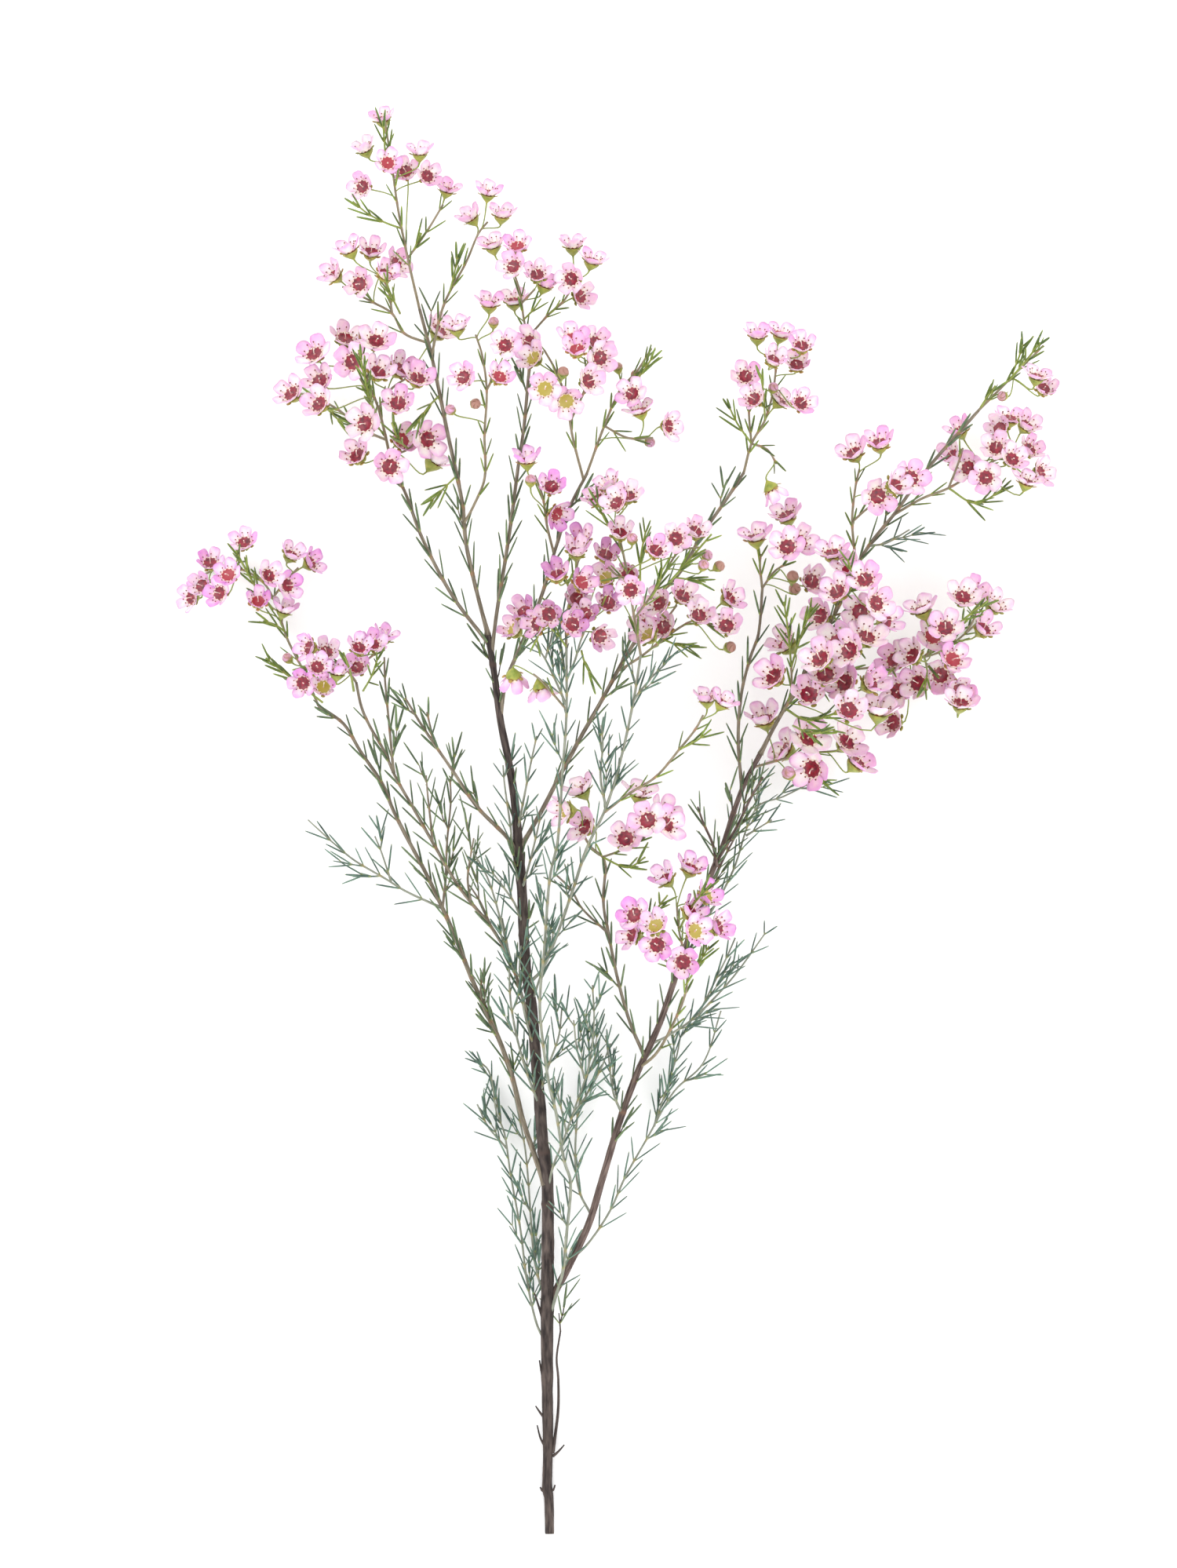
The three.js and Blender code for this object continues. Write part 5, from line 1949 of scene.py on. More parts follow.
@dataclass
class Head:
    """A cluster of blooms on its own twigs.

    Its lines are texts of layout places, and its blooms are places with their kind.
    """

    name: str
    size: float
    leaves: tuple[float, float]
    stems: str
    blooms: str
    tufts: str = ""
    shade: Shade = Shade.PALE
    folded: float = 0.0
    lines: list[Line] = field(init=False)
    standing: list[Bloom] = field(init=False)

    FORK_LEAVES: ClassVar[tuple[float, float]] = (0.1, 1.0)
    TUFT_LEAVES: ClassVar[tuple[float, float]] = (0.3, 1.0)

    def settle(self) -> None:
        """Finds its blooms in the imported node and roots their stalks."""
        self.lines = Line.read_all(self.stems, SPRAY_STEP)
        cad = CadBlooms(self.name)
        self.standing = []
        for word in self.blooms.split():
            across, down, *kind = word.split(",")
            seed = float(across) + 3.7 * float(down)
            plan = spot(float(across), float(down))
            stance = Kind(kind[0]) if kind else Kind.OPEN
            self.standing.append(cad.find(plan, stance, self.size, seed))
        cad.bm.free()
        for bloom in self.standing:
            bloom.take_root(self.lines, [other for other in self.standing if other is not bloom])

    def build(self, foliage: Foliage) -> None:
        """Makes its flowers, its green parts and its twigs.

        Args:
            foliage: grows the needles.
        """
        flowers, greens, twigs = bmesh.new(), bmesh.new(), bmesh.new()
        seed = sum(ord(letter) for letter in self.name)
        bush, girth = Bush(twigs, greens), GIRTHS[Growth.SPRAY]
        for index, line in enumerate(self.lines):
            span = self.leaves if index == 0 else self.FORK_LEAVES
            line.radii = [radius * girth.slimness for radius in line.radii]
            knots = foliage.grow(bush, line, span, HABITS[Growth.SPRAY], seed + index)
            add_stem(twigs, line, girth.sides, knots, girth.swelling)
        for index, line in enumerate(Line.read_all(self.tufts, SPRAY_STEP)):
            foliage.grow(bush, line, self.TUFT_LEAVES, HABITS[Growth.TUFT], seed + 40 + index)
            add_stem(twigs, line, FINE_SIDES, [], 0.0, TwigSkin.STALK)
        for bloom in self.standing:
            bloom.press(flowers, greens, self.folded)
            add_stem(twigs, bloom.stalk(), FINE_SIDES, [], 0.0, TwigSkin.STALK)
        finishes = (PETALS[self.shade], DISC, STAMEN, BUD, PETAL_BACKS[self.shade])
        make_piece(f"{self.name}_flowers", flowers, self.name, finishes)
        make_piece(f"{self.name}_greens", greens, self.name, (CUP, BRIGHT_NEEDLE))
        make_piece(f"{self.name}_twigs", twigs, self.name, (STEM_FINISHES[Growth.SPRAY], STALK))


BRANCHES = (
    Branch(
        "main_stem", Growth.TRUNK, leaves=(0.66, 1),
        stems="""
        700,1962,1.55,1.9 699,1915,1.6,2 697,1905,2.1,2.3 697,1892,2.4,2 698,1850,4 697,1760,8.5,2.5
        697,1667,13.5,2.8 698,1580,18.5,2.6 697,1500,23 692,1463,25 687,1397,28.5,2.4 682,1340,31.5
        677,1280,34.5 670,1233,36.5,2.2 667,1180,39 665,1134,40.5 661,1084,42,2.1 656,1021,43.5,1.7
        647,964,44.5 638,919,45 630,859,45.5 622,809,46,1.3""",
        twigs="714,1700,13,0.4 712,1677,15,0.25",
        stubs="""
        704,1862,3.5,0.7 711,1856,4.6 719,1847,5.2,0.3;
        704,1858,4,0.8 707,1835,5.5 711,1800,7.5 711,1760,9.5 709,1735,11 714,1700,13,0.4;
        694,1850,4,0.6 688,1838,5 684,1822,5.5,0.3;
        701,1908,2.4,0.6 705,1905,2.7 707,1899,3,0.35;
        693,1812,6,0.7 688,1806,7 682,1797,7.5,0.3;
        692,1765,8.5,0.7 689,1750,10 687,1738,10.5,0.35;
        692,1688,12.4,0.7 686,1668,15 681,1652,16,0.35;
        694,1909,2.4,0.6 690,1906,2.8 688,1902,3,0.4""",
    ),
    Branch(
        "crown_branch", Growth.TWIG, leaves=(0.12, 0.95),
        stems="""
        622,809,46,1.1 608,756,48 594,693,50 589,640,51 570,550,52 560,500,52.5 548,445,53,0.9
        535,395,52.5,0.8""",
    ),
    Branch(
        "left_upper_branch", Growth.TWIG, leaves=(0.15, 0.95),
        stems="624,822,45.8,1 577,760,44 538,686,41 515,625,38 500,600,36,0.8",
    ),
    Branch(
        "right_upper_branch", Growth.TWIG, leaves=(0.15, 0.95),
        stems="""
        626,836,45.5,1 633,781,49 644,714,54 652,661,58 660,600,62 668,545,65 674,480,68 680,425,70,0.8""",
    ),
    Branch(
        "middle_branch", Growth.TWIG, leaves=(0.2, 0.95),
        stems="637,915,45,1.1 645,868,47 665,820,50 690,760,56 708,700,61 725,650,66 748,605,70,0.8",
    ),
    Branch(
        "right_centre_branch", Growth.TWIG, leaves=(0.15, 0.97),
        stems="""
        662,1082,42,1.2 688,1037,43 711,993,43.5 739,941,44 768,890,44 794,842,43 813,810,42 832,768,41
        868,727,40 896,679,40 925,637,40 948,602,41,0.8""",
    ),
    Branch(
        "left_centre_branch", Growth.TWIG, leaves=(0.15, 1),
        stems="""
        661,1090,42,1.1 647,1068,44 608,1028,50 577,982,56 541,929,61 517,890,64,0.6;
        553,946,59.5,0.6 545,908,66,0.5""",
    ),
    Branch(
        "left_branch", Growth.TWIG, leaves=(0.15, 0.97),
        stems="""
        694,1512,23,1.4 683,1480,23 667,1433,23 653,1377,22 637,1330,22 620,1293,21 600,1247,21
        580,1197,20 563,1158,20 541,1112,19 517,1067,18 499,1031,17 487,1001,17 457,956,16 436,922,16
        404,899,15,0.8""",
        twigs="""
        563,1158,20,0.6 567,1120,24 569,1074,28 574,1020,31 573,992,32,0.35;
        620,1293,21,0.6 612,1265,26 616,1235,30,0.35""",
    ),
    Branch(
        "left_lower_branch", Growth.TWIG, leaves=(0.12, 0.97),
        stems="""
        681,1325,32.2,0.9 663,1263,39 650,1223,42 625,1180,43 600,1150,43 580,1123,42 552,1075,39
        527,1031,37 503,989,35 489,957,33 471,926,32 460,901,31 453,869,30,0.7;
        501,985,35,0.7 496,930,34 490,866,32 489,837,31,0.5""",
        twigs="""
        551,1074,39,0.6 548,1042,42 545,1014,44 543,988,46,0.35;
        600,1150,43,0.6 596,1120,49 600,1090,53 604,1068,55,0.35;
        625,1180,43,0.6 612,1150,40 598,1128,38,0.35""",
    ),
    Branch(
        "right_branch", Growth.LIMB, leaves=(0.3, 0.97),
        stems="""
        698,1680,12.8,1.7 705,1655,13.6 723,1620,15 750,1563,18 767,1507,20 790,1430,23 813,1367,25
        827,1337,26 843,1300,27 863,1240,29 885,1175,31 908,1111,32 922,1077,33 935,1036,34 949,999,35
        969,961,36,1.1""",
        twigs="""
        914,1104,33,0.8 908,1075,42 896,1048,46 889,1028,47,0.4;
        918,1090,33,0.9 940,1052,40 956,1018,44 972,990,46,0.45;
        890,1160,31.5,0.8 910,1120,26 925,1090,24 940,1062,24,0.4""",
    ),
    Branch(
        "right_inner_branch", Growth.TWIG, leaves=(0.1, 0.95),
        stems="946,1006,34.8,0.9 941,945,37 945,884,37 957,836,35 967,807,34 972,749,32,0.7",
    ),
    Branch(
        "right_outer_branch", Growth.TWIG, leaves=(0.1, 0.95),
        stems="""
        969,961,36,1.1 990,920,37 1030,850,38 1070,770,38 1095,716,38 1112,689,38 1142,652,38 1169,614,39
        1193,584,40 1247,523,42,0.8""",
    ),
    Branch(
        "low_branch", Growth.TWIG, leaves=(0.1, 0.97),
        stems="""
        822,1348,25.6,0.9 803,1304,32 786,1243,38 776,1192,43 769,1151,47 772,1104,51,0.7;
        776,1190,43,0.6 742,1158,46 728,1134,48 706,1112,50,0.5""",
    ),
    Branch(
        "centre_branch_a", Growth.SHOOT, leaves=(0.05, 0.98),
        stems="""
        698,1690,12.3,0.9 708,1655,17 717,1623,21 722,1573,28 727,1507,36 719,1480,39 709,1420,45
        700,1382,49 694,1344,52 688,1280,57 694,1206,64 701,1117,72 711,1070,76 717,983,82 722,912,88
        722,826,92,0.7""",
        twigs="""
        722,900,88.5,0.6 708,868,88 695,841,88 682,822,88 672,806,88,0.35;
        695,841,88,0.5 702,818,90 706,797,91,0.35;
        722,868,90,0.6 733,842,93 740,818,94 748,800,94,0.35;
        659,1062,42.6,0.6 667,1020,50 676,975,56 684,938,60,0.35;
        665,1134,41,0.6 676,1095,50 684,1062,56 690,1035,60,0.35;
        687,1397,28.5,0.6 700,1355,37 712,1320,40 716,1285,41,0.35;
        677,1280,34.5,0.6 690,1240,40 702,1205,42 706,1180,43,0.35""",
    ),
    Branch(
        "centre_branch_b", Growth.SHOOT, leaves=(0.1, 0.98),
        stems="""
        672,1255,35.6,0.9 691,1235,41 708,1196,48 731,1131,62 748,1080,74 772,1029,80 791,967,85
        807,893,90 816,836,93,0.7""",
        twigs="""
        807,893,90,0.6 818,878,92 828,866,93 834,850,94,0.35;
        772,1029,80,0.6 765,990,84 768,950,88 766,925,90,0.35""",
    ),
    Branch(
        "leafy_left", Growth.SHOOT, leaves=(0.1, 0.93),
        stems="""
        563,1158,20,0.7 517,1137,17 489,1120,15 450,1097,12 422,1074,10 390,1045,7,0.45;
        497,1124,15.5,0.5 484,1085,13 476,1066,12,0.45""",
    ),
    Branch(
        "leafy_foot_left", Growth.SHOOT,
        stems="""
        697,1720,10.6,0.7 683,1690,10 670,1630,9 663,1573,9 650,1500,9 642,1447,9 632,1420,9 622,1367,9
        600,1350,8,0.45;
        645,1466,9,0.5 622,1440,7 607,1410,6,0.45""",
    ),
    Branch(
        "leafy_foot_centre", Growth.SHOOT,
        stems="697,1668,13.4,0.7 685,1630,10 679,1597,8 673,1513,7 668,1463,6 655,1400,5,0.45",
    ),
    Branch(
        "leafy_foot_right", Growth.SHOOT,
        stems="""
        697,1528,21.5,0.7 704,1490,27 717,1457,30 730,1420,34 750,1360,40 757,1303,46 755,1255,52,0.45;
        722,1445,31.4,0.5 712,1400,36 706,1372,38,0.45;
        730,1420,34,0.5 748,1395,36 766,1362,37 778,1330,37,0.45;
        745,1375,38.5,0.5 735,1335,44 731,1300,47,0.45""",
    ),
    Branch(
        "leafy_inner", Growth.SHOOT,
        stems="754,1552,18.3,0.7 738,1520,12 733,1470,8 740,1400,6 760,1345,5,0.45",
    ),
    Branch(
        "leafy_right_long", Growth.SHOOT,
        stems="""
        729,1607,15.5,0.7 750,1587,15 777,1547,13 797,1503,12 827,1450,11 860,1393,10 897,1357,9
        920,1290,7,0.45;
        834,1438,11,0.5 862,1352,10 868,1322,10,0.45""",
    ),
    Branch(
        "leafy_right_arm", Growth.SHOOT, leaves=(0.16, 1),
        stems="""
        830,1331,26.2,0.7 850,1322,24 883,1300,21 917,1267,17 943,1237,13 977,1190,8,0.45;
        892,1291,20,0.5 925,1225,17 938,1196,16,0.45""",
    ),
    Branch(
        "leafy_right_side", Growth.SHOOT,
        stems="""
        879,1195,30.4,0.7 905,1165,25 935,1110,19 965,1030,14 1000,1015,12 1030,1000,10,0.45;
        952,1065,16.6,0.5 985,1045,13,0.45""",
    ),
    Branch(
        "leafy_low", Growth.SHOOT,
        stems="793,1421,23.2,0.7 782,1395,29 776,1350,35 772,1320,38,0.45",
    ),
    Branch(
        "leafy_left_inner", Growth.SHOOT,
        stems="650,1223,42,0.7 640,1180,46 622,1120,50 603,1085,53,0.45",
        twigs="""
        667,1180,39,0.6 655,1150,46 640,1128,52 628,1112,56,0.35;
        665,1140,40.5,0.6 656,1100,44 650,1050,46 643,1000,47 641,975,47,0.35;
        689,1415,27.5,0.6 672,1370,36 658,1320,40 650,1270,42 648,1215,43 640,1170,44,0.35;
        682,1340,31.5,0.6 668,1290,40 662,1240,44 664,1205,46,0.35""",
    ),
    Branch(
        "leafy_right_tip", Growth.SHOOT, leaves=(0.15, 1),
        stems="1108,695,38,0.6 1129,692,42 1159,675,46,0.45",
    ),
)

HEADS = (
    Head(
        "head_crown_top", size=0.78, folded=0.4, leaves=(0.2, 1),
        stems="""
        535,395,52.5,0.7 520,330,51 508,270,50 500,215,48 490,150,45,0.55;
        520,330,51,0.6 545,295,54 565,262,56,0.55""",
        blooms="487,150,s 465,190,s 462,238 495,210 517,218 535,195,s 545,225 570,240,s",
        tufts="""
        492,215,48,0.5 490,180,52 488,155,54,0.4;
        512,292,50.4,0.5 492,285,52 470,274,54 450,258,55,0.35;
        526,322,51.5,0.45 532,310,54 536,298,56,0.35""",
    ),
    Head(
        "head_crown_right", size=0.8, folded=0.4, leaves=(0.2, 0.8),
        stems="550,455,53,0.7 566,390,57 595,335,60 610,300,62 622,285,63,0.55",
        blooms="600,278,s 623,248,s 640,275,s",
        tufts="573,375,58.3,0.45 579,352,61 584,326,63,0.35",
    ),
    Head(
        "head_crown_left", size=0.85, folded=0.2, leaves=(0.2, 0.8),
        stems="""
        546,438,53,0.7 515,425,50 500,400,47 475,385,44 450,372,42 436,365,41,0.55;
        500,400,47,0.6 495,370,48 485,350,49,0.55""",
        blooms="425,350 445,318,s 473,320 492,350 458,362 505,335",
        tufts="510,400,49,0.5 498,375,60 490,350,66,0.4",
    ),
    Head(
        "head_top_left", size=0.82, folded=0.3, leaves=(0.2, 0.8),
        stems="""
        677,452,69,0.6 668,410,73 663,375,75 655,350,76,0.55;
        665,390,74,0.6 682,372,77,0.55""",
        blooms="628,315,s 660,318 655,345 685,355 695,365,s 655,385,s",
        tufts="668,410,73,0.45 680,398,76 690,384,78,0.35",
    ),
    Head(
        "head_top_right", size=0.82, folded=0.3, leaves=(0.2, 0.8),
        stems="680,425,70,0.6 700,403,72 720,385,74 733,360,75,0.55",
        blooms="730,315,s 755,335,s 728,360 740,380",
        tufts="700,403,72,0.45 708,396,75 714,386,77,0.35",
    ),
    Head(
        "head_upper_centre", size=0.82, folded=0.2, leaves=(0.15, 0.9),
        stems="""
        591,668,50.4,0.7 604,645,56 618,610,61 618,555,68 621,500,74 615,455,78 607,430,80,0.55;
        621,500,74,0.6 636,470,79,0.55""",
        blooms="583,420,s 592,485 638,485 645,445 625,390,s 607,518,b 575,525,b 630,415,b",
    ),
    Head(
        "head_upper_middle", size=0.88, folded=0.1, leaves=(0.2, 0.9),
        stems="""
        744,614,69.6,0.7 730,560,76 721,510,80 708,475,83 694,450,85,0.55;
        727,540,77.5,0.6 745,500,81 752,462,84,0.55""",
        blooms="675,440 680,460,y 695,500,y 722,515,y 730,435 735,450 760,440 765,460 750,490 718,480,b",
    ),
    Head(
        "head_right_buds", size=0.8, leaves=(0.15, 1),
        stems="""
        748,605,70,0.7 770,545,72 790,500,74 812,475,75 830,447,76,0.55;
        770,545,72,0.6 800,560,70 832,560,69,0.55""",
        blooms="787,470,b 810,480,b 805,505 815,525,s 852,545 828,565,b",
        tufts="790,500,74,0.5 812,485,80 832,458,84,0.4",
    ),
    Head(
        "head_left_big", size=0.95, leaves=(0.2, 1),
        stems="""
        500,600,36,0.8 492,560,38 482,520,41 467,480,44 460,445,46 458,420,47,0.55;
        492,560,38,0.7 460,545,25 430,520,12 400,503,3,0.6 378,497,0.3,0.55;
        496,580,37,0.6 520,572,40 538,552,43,0.55;
        482,520,41,0.6 500,495,50 520,482,55,0.55;
        476,548,31.5,0.6 470,505,20 452,470,15,0.55""",
        blooms="""
        370,500 407,485 407,515 400,450 450,462 480,435 483,475 510,470 533,483 508,515 465,540 512,560
        455,580 497,595 545,560 553,585,s 440,430 560,420""",
        tufts="""
        480,530,40,0.6 471,505,66 459,450,82,0.45;
        410,512,8,0.5 425,528,12 437,538,14,0.4;
        520,572,40,0.5 508,560,52 500,540,60,0.4;
        583,606,51.4,0.45 568,621,54 549,640,56,0.35;
        560,505,52.4,0.5 545,522,60 528,548,62,0.35""",
    ),
    Head(
        "head_far_left", size=0.8, folded=0.3, leaves=(0.1, 0.95), shade=Shade.LILAC,
        stems="""
        404,899,15,0.7 385,855,13 365,816,10 355,788,8 345,760,6 330,738,4 300,722,2,0.55 275,722,1
        250,733,0.3,0.55;
        345,760,6,0.6 362,738,12 378,722,15,0.55;
        300,722,2,0.55 302,703,10 299,682,16,0.55""",
        blooms="""
        265,715 255,745 278,755 290,732 240,760 310,690 370,705 342,733 365,745 328,765 395,715 360,775,s""",
        tufts="""
        345,775,8,0.6 325,748,26 300,702,40,0.45;
        362,805,9,0.5 348,795,11 333,790,12,0.4""",
    ),
    Head(
        "head_left_lower", size=0.8, folded=0.4, leaves=(0.1, 1), shade=Shade.LILAC,
        stems="""
        453,869,30,0.7 440,852,30 420,842,29 400,846,28 385,852,27,0.55;
        446,860,30,0.6 462,845,33 478,832,35,0.55""",
        blooms="""
        393,825 415,830 385,870 412,875,y 405,850 458,825 475,820 490,810,s 455,850 430,855,s 365,838,b""",
        tufts="""
        450,880,31,0.6 446,855,46 438,832,54,0.45;
        462,880,31,0.5 474,860,44 482,838,52,0.4;
        410,895,22,0.5 375,868,24 337,838,26,0.45""",
    ),
    Head(
        "head_middle_upper", size=0.85, folded=0.4, leaves=(0.2, 0.8), shade=Shade.LILAC,
        stems="706,706,60.5,0.7 697,670,68 692,635,73 682,608,75,0.55",
        blooms="672,588,s 703,622 710,657 677,615,b",
    ),
    Head(
        "head_middle_right", size=0.85, folded=0.45, leaves=(0.1, 0.9),
        stems="""
        816,836,93,0.7 808,790,94 800,740,95 792,700,96 783,665,97,0.55;
        808,790,94,0.6 830,760,93 848,730,92 865,705,91 890,700,90,0.55;
        800,740,95,0.6 785,735,98 775,725,99,0.55""",
        blooms="""
        760,638 785,645 775,620 800,635 790,682 772,738,y 800,735 803,755 835,705 860,690 885,680
        805,690,b 900,710,b 895,723,b 915,724,b""",
        tufts="""
        845,752,92,0.55 872,722,98 905,684,104,0.45;
        858,738,94,0.4 880,741,96 898,744,97,0.35;
        815,745,93,0.5 816,712,97 822,680,100,0.4;
        790,690,97,0.5 772,668,99 760,640,100,0.4;
        828,765,93,0.5 838,748,98 843,728,101,0.4""",
    ),
    Head(
        # its petals wear the darker mauve colours, which paint the shade over this cluster
        "head_middle_left", size=0.88, folded=0.85, leaves=(0.1, 0.9), shade=Shade.MAUVE_PAINTED_SHADE,
        stems="""
        722,826,92,0.7 722,790,93 728,760,94 735,725,95 742,700,96,0.55;
        722,790,93,0.6 700,778,91 680,785,90,0.55;
        722,812,92.4,0.6 742,798,93 760,788,94,0.55""",
        blooms="""
        740,690 735,705 710,735 742,745 772,708 735,765 700,785 668,780 655,803,y 745,785 685,797 730,798
        765,812 775,770""",
        tufts="""
        741,830,91,0.5 745,845,92 753,862,93,0.35;
        722,826,92,0.5 712,812,95 700,800,98,0.4;
        728,760,94,0.5 722,742,99 720,722,103,0.4;
        755,792,94,0.5 765,778,99 772,762,102,0.4;
        700,778,91,0.5 690,800,95 684,820,97,0.4""",
    ),
    Head(
        "head_middle_low", size=0.9, folded=0.4, leaves=(0.2, 0.9),
        stems="""
        786,856,43.3,0.7 815,838,51 845,815,58 875,795,62 905,785,65 925,783,66,0.55;
        845,815,58,0.6 850,790,62 862,772,64,0.55;
        890,790,63.5,0.6 920,805,62,0.55""",
        blooms="840,770 820,797 825,810,y 845,800 870,760 890,785 925,798 930,762 930,825,b",
        tufts="""
        845,815,58,0.5 862,822,60 880,826,62,0.4;
        850,790,62,0.5 838,778,70 832,762,74,0.4""",
    ),
    Head(
        "head_hanging", size=0.85, leaves=(0.3, 0.8),
        stems="722,905,88.3,0.6 705,885,86 690,868,84 680,860,83,0.55",
        blooms="655,865,h 690,880,h",
    ),
    Head(
        "head_centre_twig", size=0.8, leaves=(0.1, 0.95),
        stems="770,1035,79.5,0.7 800,1012,83 835,990,86 865,955,88 885,930,89 895,912,90,0.55",
        blooms="900,890,s 920,895,s",
        tufts="865,955,88,0.5 885,945,92 905,930,94,0.4",
    ),
    Head(
        "head_upper_right", size=0.82, folded=0.2, leaves=(0.12, 1),
        stems="""
        948,602,41,0.7 958,565,40 975,535,41 985,500,43 990,460,46,0.55;
        958,565,40,0.6 955,530,36 955,500,34,0.55;
        958,565,40,0.6 978,572,37 990,590,34,0.55""",
        blooms="""
        965,428,s 995,425,s 985,460 1015,465 950,480 960,510 995,510,s 1020,515 1021,442 985,625,h
        985,495,b""",
        tufts="""
        975,535,41,0.5 972,500,62 968,478,66,0.4;
        958,565,40,0.5 940,540,42 930,520,44,0.4""",
    ),
    Head(
        "head_far_right_tip", size=0.8, leaves=(0.1, 1),
        stems="1247,523,42,0.7 1285,485,43 1315,455,44 1330,440,44,0.55",
        blooms="1320,480,s 1330,495 1277,505,b",
        tufts="""
        1285,485,43,0.6 1303,465,51 1324,438,58,0.45;
        1290,476,43.5,0.5 1297,458,50 1303,440,54,0.4;
        1250,519,42,0.6 1258,506,47 1268,492,50,0.4""",
    ),
    Head(
        "head_far_right", size=0.85, leaves=(0.1, 0.9),
        stems="""
        1139,656,38,0.7 1175,635,36 1210,621,32 1240,603,28 1270,585,25 1300,570,23,0.55;
        1210,621,32,0.6 1222,590,33 1228,570,34,0.55""",
        blooms="""
        1225,545 1215,578 1290,530,s 1275,545 1310,540 1270,570 1290,585 1315,570 1257,608 1310,612,s
        1330,600 1235,595""",
        tufts="1210,621,32,0.5 1245,640,30 1280,622,28,0.4",
    ),
    Head(
        "head_right_upper", size=0.95, folded=0.1, leaves=(0.15, 0.9),
        stems="""
        1092,722,38,0.7 1086,665,46 1090,620,50 1095,598,51,0.55;
        1086,665,46,0.6 1110,645,51 1135,635,54,0.55""",
        blooms="1087,577 1120,565 1118,633 1160,610 1140,620",
    ),
    Head(
        "head_right_inner", size=0.95, folded=0.15, leaves=(0.2, 0.95),
        stems="""
        972,749,32,0.7 969,720,32 970,705,32,0.55;
        972,749,32,0.6 987,728,34 1002,718,36,0.55""",
        blooms="963,683,s 1003,655 1003,697 1020,690 1035,740 1010,735,b 1013,750,b",
    ),
    Head(
        "head_right_middle", size=0.95, folded=0.2, leaves=(0.15, 0.9),
        stems="""
        1052,806,38,0.7 1060,790,46 1068,765,51 1078,745,54 1085,735,55,0.55;
        1062,784,47,0.6 1085,780,53 1105,775,56,0.55""",
        blooms="1060,705 1080,725 1100,740 1065,755 1115,770 1045,785 1095,780 1130,790",
        tufts="""
        1068,765,51,0.6 1085,745,76 1078,715,86,0.45;
        1062,784,47,0.5 1075,810,70 1092,826,78,0.4""",
    ),
    Head(
        "head_right_lower", size=1.06, folded=0.1, leaves=(0.15, 0.9),
        stems="""
        993,915,37,0.7 1010,890,46 1035,865,52 1060,850,55 1090,838,57,0.55;
        1035,865,52,0.6 1060,885,54 1085,890,55,0.55;
        1010,890,46,0.6 1008,850,50,0.55""",
        blooms="""
        1000,820 1043,840 1065,820 1103,812 1080,830 985,862 1075,870 1030,885 1110,870 1050,860 1080,905
        1120,905,s""",
        tufts="""
        1000,902,40,0.6 1030,918,52 1068,908,58,0.5;
        1010,925,60,0.5 1035,935,78 1062,930,82,0.4;
        1008,850,50,0.5 1004,810,62 998,768,70,0.4;
        1008,850,50,0.5 1020,810,62 1034,775,70,0.4""",
    ),
    Head(
        "head_right_low", size=1.05, leaves=(0.2, 1),
        stems="960,978,35.6,0.7 995,968,30 1030,960,26 1065,957,23 1083,955,22,0.55",
        blooms="975,915 1000,955 1030,940 1035,980 1080,945 1095,970,s 1005,985,b",
        tufts="1010,968,29,0.5 1030,985,20 1058,1000,16,0.4",
    ),
    Head(
        "head_right_side", size=0.95, folded=0.2, leaves=(0.15, 1),
        stems="""
        1024,860,37.8,0.7 1070,854,26 1110,850,15 1150,842,7 1200,830,2.5,0.55 1235,805,1.2
        1258,784,0.3,0.55;
        1150,842,7,0.6 1180,835,16 1200,815,22,0.55;
        1200,830,2.5,0.6 1212,850,12 1222,868,16,0.55;
        1235,805,1.2,0.6 1245,785,14 1250,765,20,0.55""",
        blooms="""
        1163,835 1140,840 1205,800 1190,810 1175,775,s 1228,760 1255,800 1270,770 1245,755 1215,840
        1200,860 1170,870 1225,880 1145,880 1225,895,s 1140,920""",
        tufts="""
        1200,830,6,0.6 1222,795,44 1258,766,54,0.5;
        1150,842,10,0.6 1130,860,48 1105,880,52,0.45;
        1180,835,16,0.5 1182,858,40 1178,880,46,0.4""",
    ),
    Head(
        "head_low_upper", size=0.95, leaves=(0.15, 0.9),
        stems="""
        772,1104,51,0.7 768,1092,53 752,1078,56 742,1060,58,0.55;
        768,1092,53,0.6 795,1082,56 820,1068,59 832,1052,60,0.55""",
        blooms="720,1033,y 740,1005,s 745,1053 797,1068 815,1010,s 825,1045 850,1050 845,1035",
        tufts="768,1092,53,0.5 800,1105,60 822,1092,66,0.4",
    ),
    Head(
        "head_low", size=0.9, folded=0.3, leaves=(0.15, 0.9), shade=Shade.LILAC,
        stems="""
        815,1362,25.1,0.8 835,1345,31 850,1321,37 871,1274,45 876,1245,49 872,1215,53 865,1185,56
        862,1150,59,0.55;
        876,1245,49,0.6 850,1225,53 830,1210,56 815,1195,58,0.55""",
        blooms="""
        847,1118 880,1105 900,1140,y 880,1160 808,1165 835,1178,y 805,1190 837,1203 885,1185,y 915,1180
        870,1225""",
        tufts="""
        865,1185,56,0.6 880,1155,76 905,1125,88,0.45;
        815,1195,58,0.6 835,1160,70 850,1140,76,0.4;
        874,1255,48,0.5 890,1228,54 903,1205,58,0.35""",
    ),
)


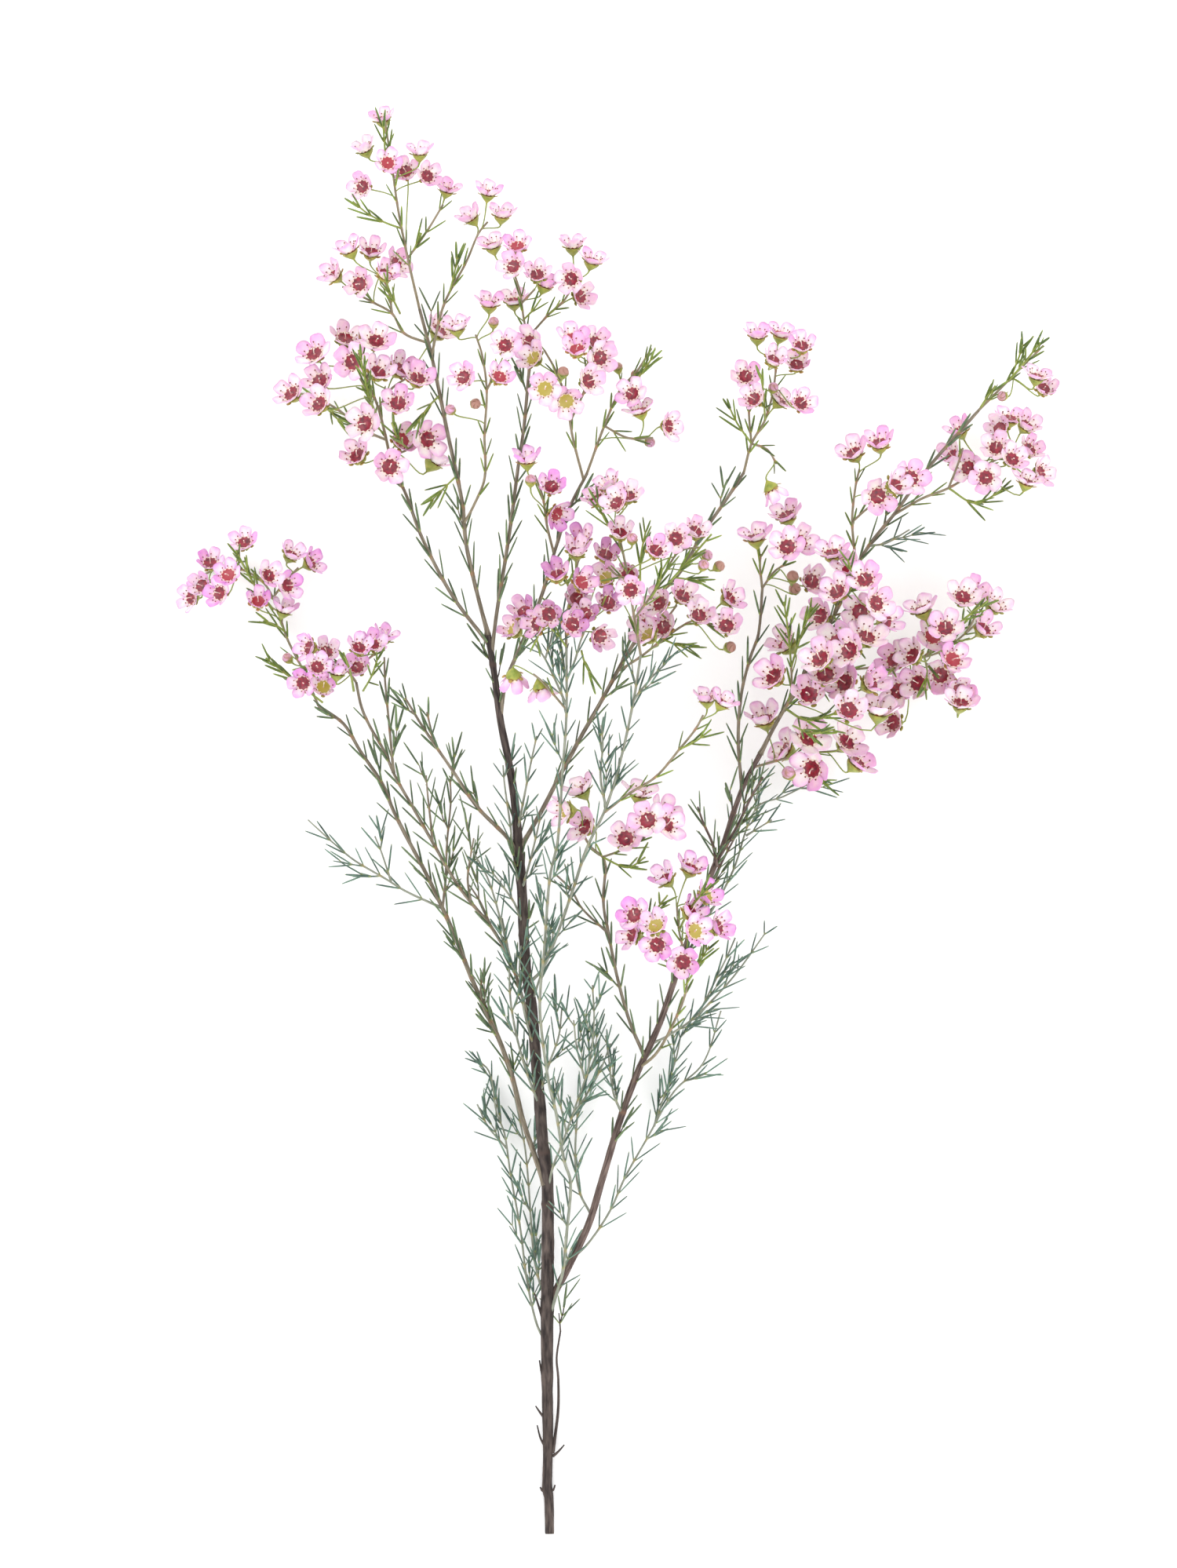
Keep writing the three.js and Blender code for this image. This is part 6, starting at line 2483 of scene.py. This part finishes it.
# ---- the studio ----
@dataclass
class Studio:
    """Pale floor, soft lights and the camera that looks down on the stem."""

    lens: float = 300.0
    sensor: float = 36.0
    eye_level: float = 45 * MM
    floor_size: float = 9.0
    paper: float = 0.97
    sky: float = 1.32

    def build(self) -> None:
        """Sets up the whole studio."""
        self.add_floor()
        self.add_camera()
        self.add_light("key", (-2.2, 1.8, 2.6), 2.8, 26.0)
        self.add_light("fill", (2.6, -0.6, 2.4), 2.8, 21.0)
        self.add_light("back", (0.3, -2.8, 2.4), 2.8, 15.0)
        world = bpy.data.worlds.new("studio")
        world.use_nodes = True
        sky = world.node_tree.nodes["Background"]
        sky.inputs["Color"].default_value = (1.0, 1.0, 1.0, 1.0)
        sky.inputs["Strength"].default_value = self.sky
        bpy.context.scene.world = world
        bpy.context.scene.view_settings.view_transform = "Standard"

    def add_floor(self) -> None:
        """A plain pale sheet just under the stem."""
        bm = bmesh.new()
        bmesh.ops.create_grid(bm, x_segments=1, y_segments=1, size=self.floor_size / 2)
        bmesh.ops.translate(bm, verts=bm.verts, vec=(0, 0, -0.05 * MM))
        mesh = bpy.data.meshes.new("floor")
        bm.to_mesh(mesh)
        bm.free()
        material = bpy.data.materials.new("floor_paper")
        material.use_nodes = True
        shader = material.node_tree.nodes["Principled BSDF"]
        shader.inputs["Base Color"].default_value = (self.paper, self.paper, self.paper, 1.0)
        shader.inputs["Roughness"].default_value = 0.9
        mesh.materials.append(material)
        floor = bpy.data.objects.new("floor", mesh)
        bpy.context.scene.collection.objects.link(floor)

    def add_camera(self) -> None:
        """A long lens over the middle of the framed view."""
        camera = bpy.data.cameras.new("camera")
        camera.lens = self.lens
        camera.sensor_width = self.sensor
        camera.clip_end = 100.0
        holder = bpy.data.objects.new("camera", camera)
        distance = PICTURE[1] * UNIT * self.lens / self.sensor
        place = spot(*PICTURE_MIDDLE)
        place.z = self.eye_level + distance
        holder.location = place
        bpy.context.scene.collection.objects.link(holder)
        bpy.context.scene.camera = holder

    def add_light(self, name: str, place: tuple[float, float, float], size: float, power: float) -> None:
        """A square soft light that looks at the stem.

        Args:
            name: of the light.
            place: where it hangs.
            size: of its side.
            power: in watts.
        """
        lamp = bpy.data.lights.new(name, "AREA")
        lamp.shape = "SQUARE"
        lamp.size = size
        lamp.energy = power
        holder = bpy.data.objects.new(name, lamp)
        holder.location = place
        holder.rotation_euler = (-Vector(place)).to_track_quat("-Z", "Y").to_euler()
        bpy.context.scene.collection.objects.link(holder)


def main() -> None:
    """Builds the stem from its blooms down to its bark."""
    logging.basicConfig(level=logging.INFO, format="%(message)s")
    Studio().build()
    for head in HEADS:
        head.settle()
    blooms = [bloom for head in HEADS for bloom in head.standing]
    foliage = Foliage(blooms)
    for head in HEADS:
        head.build(foliage)
    for branch in BRANCHES:
        branch.build(foliage)
    log.info("%d blooms", len(blooms))


if __name__ == "__main__":
    main()
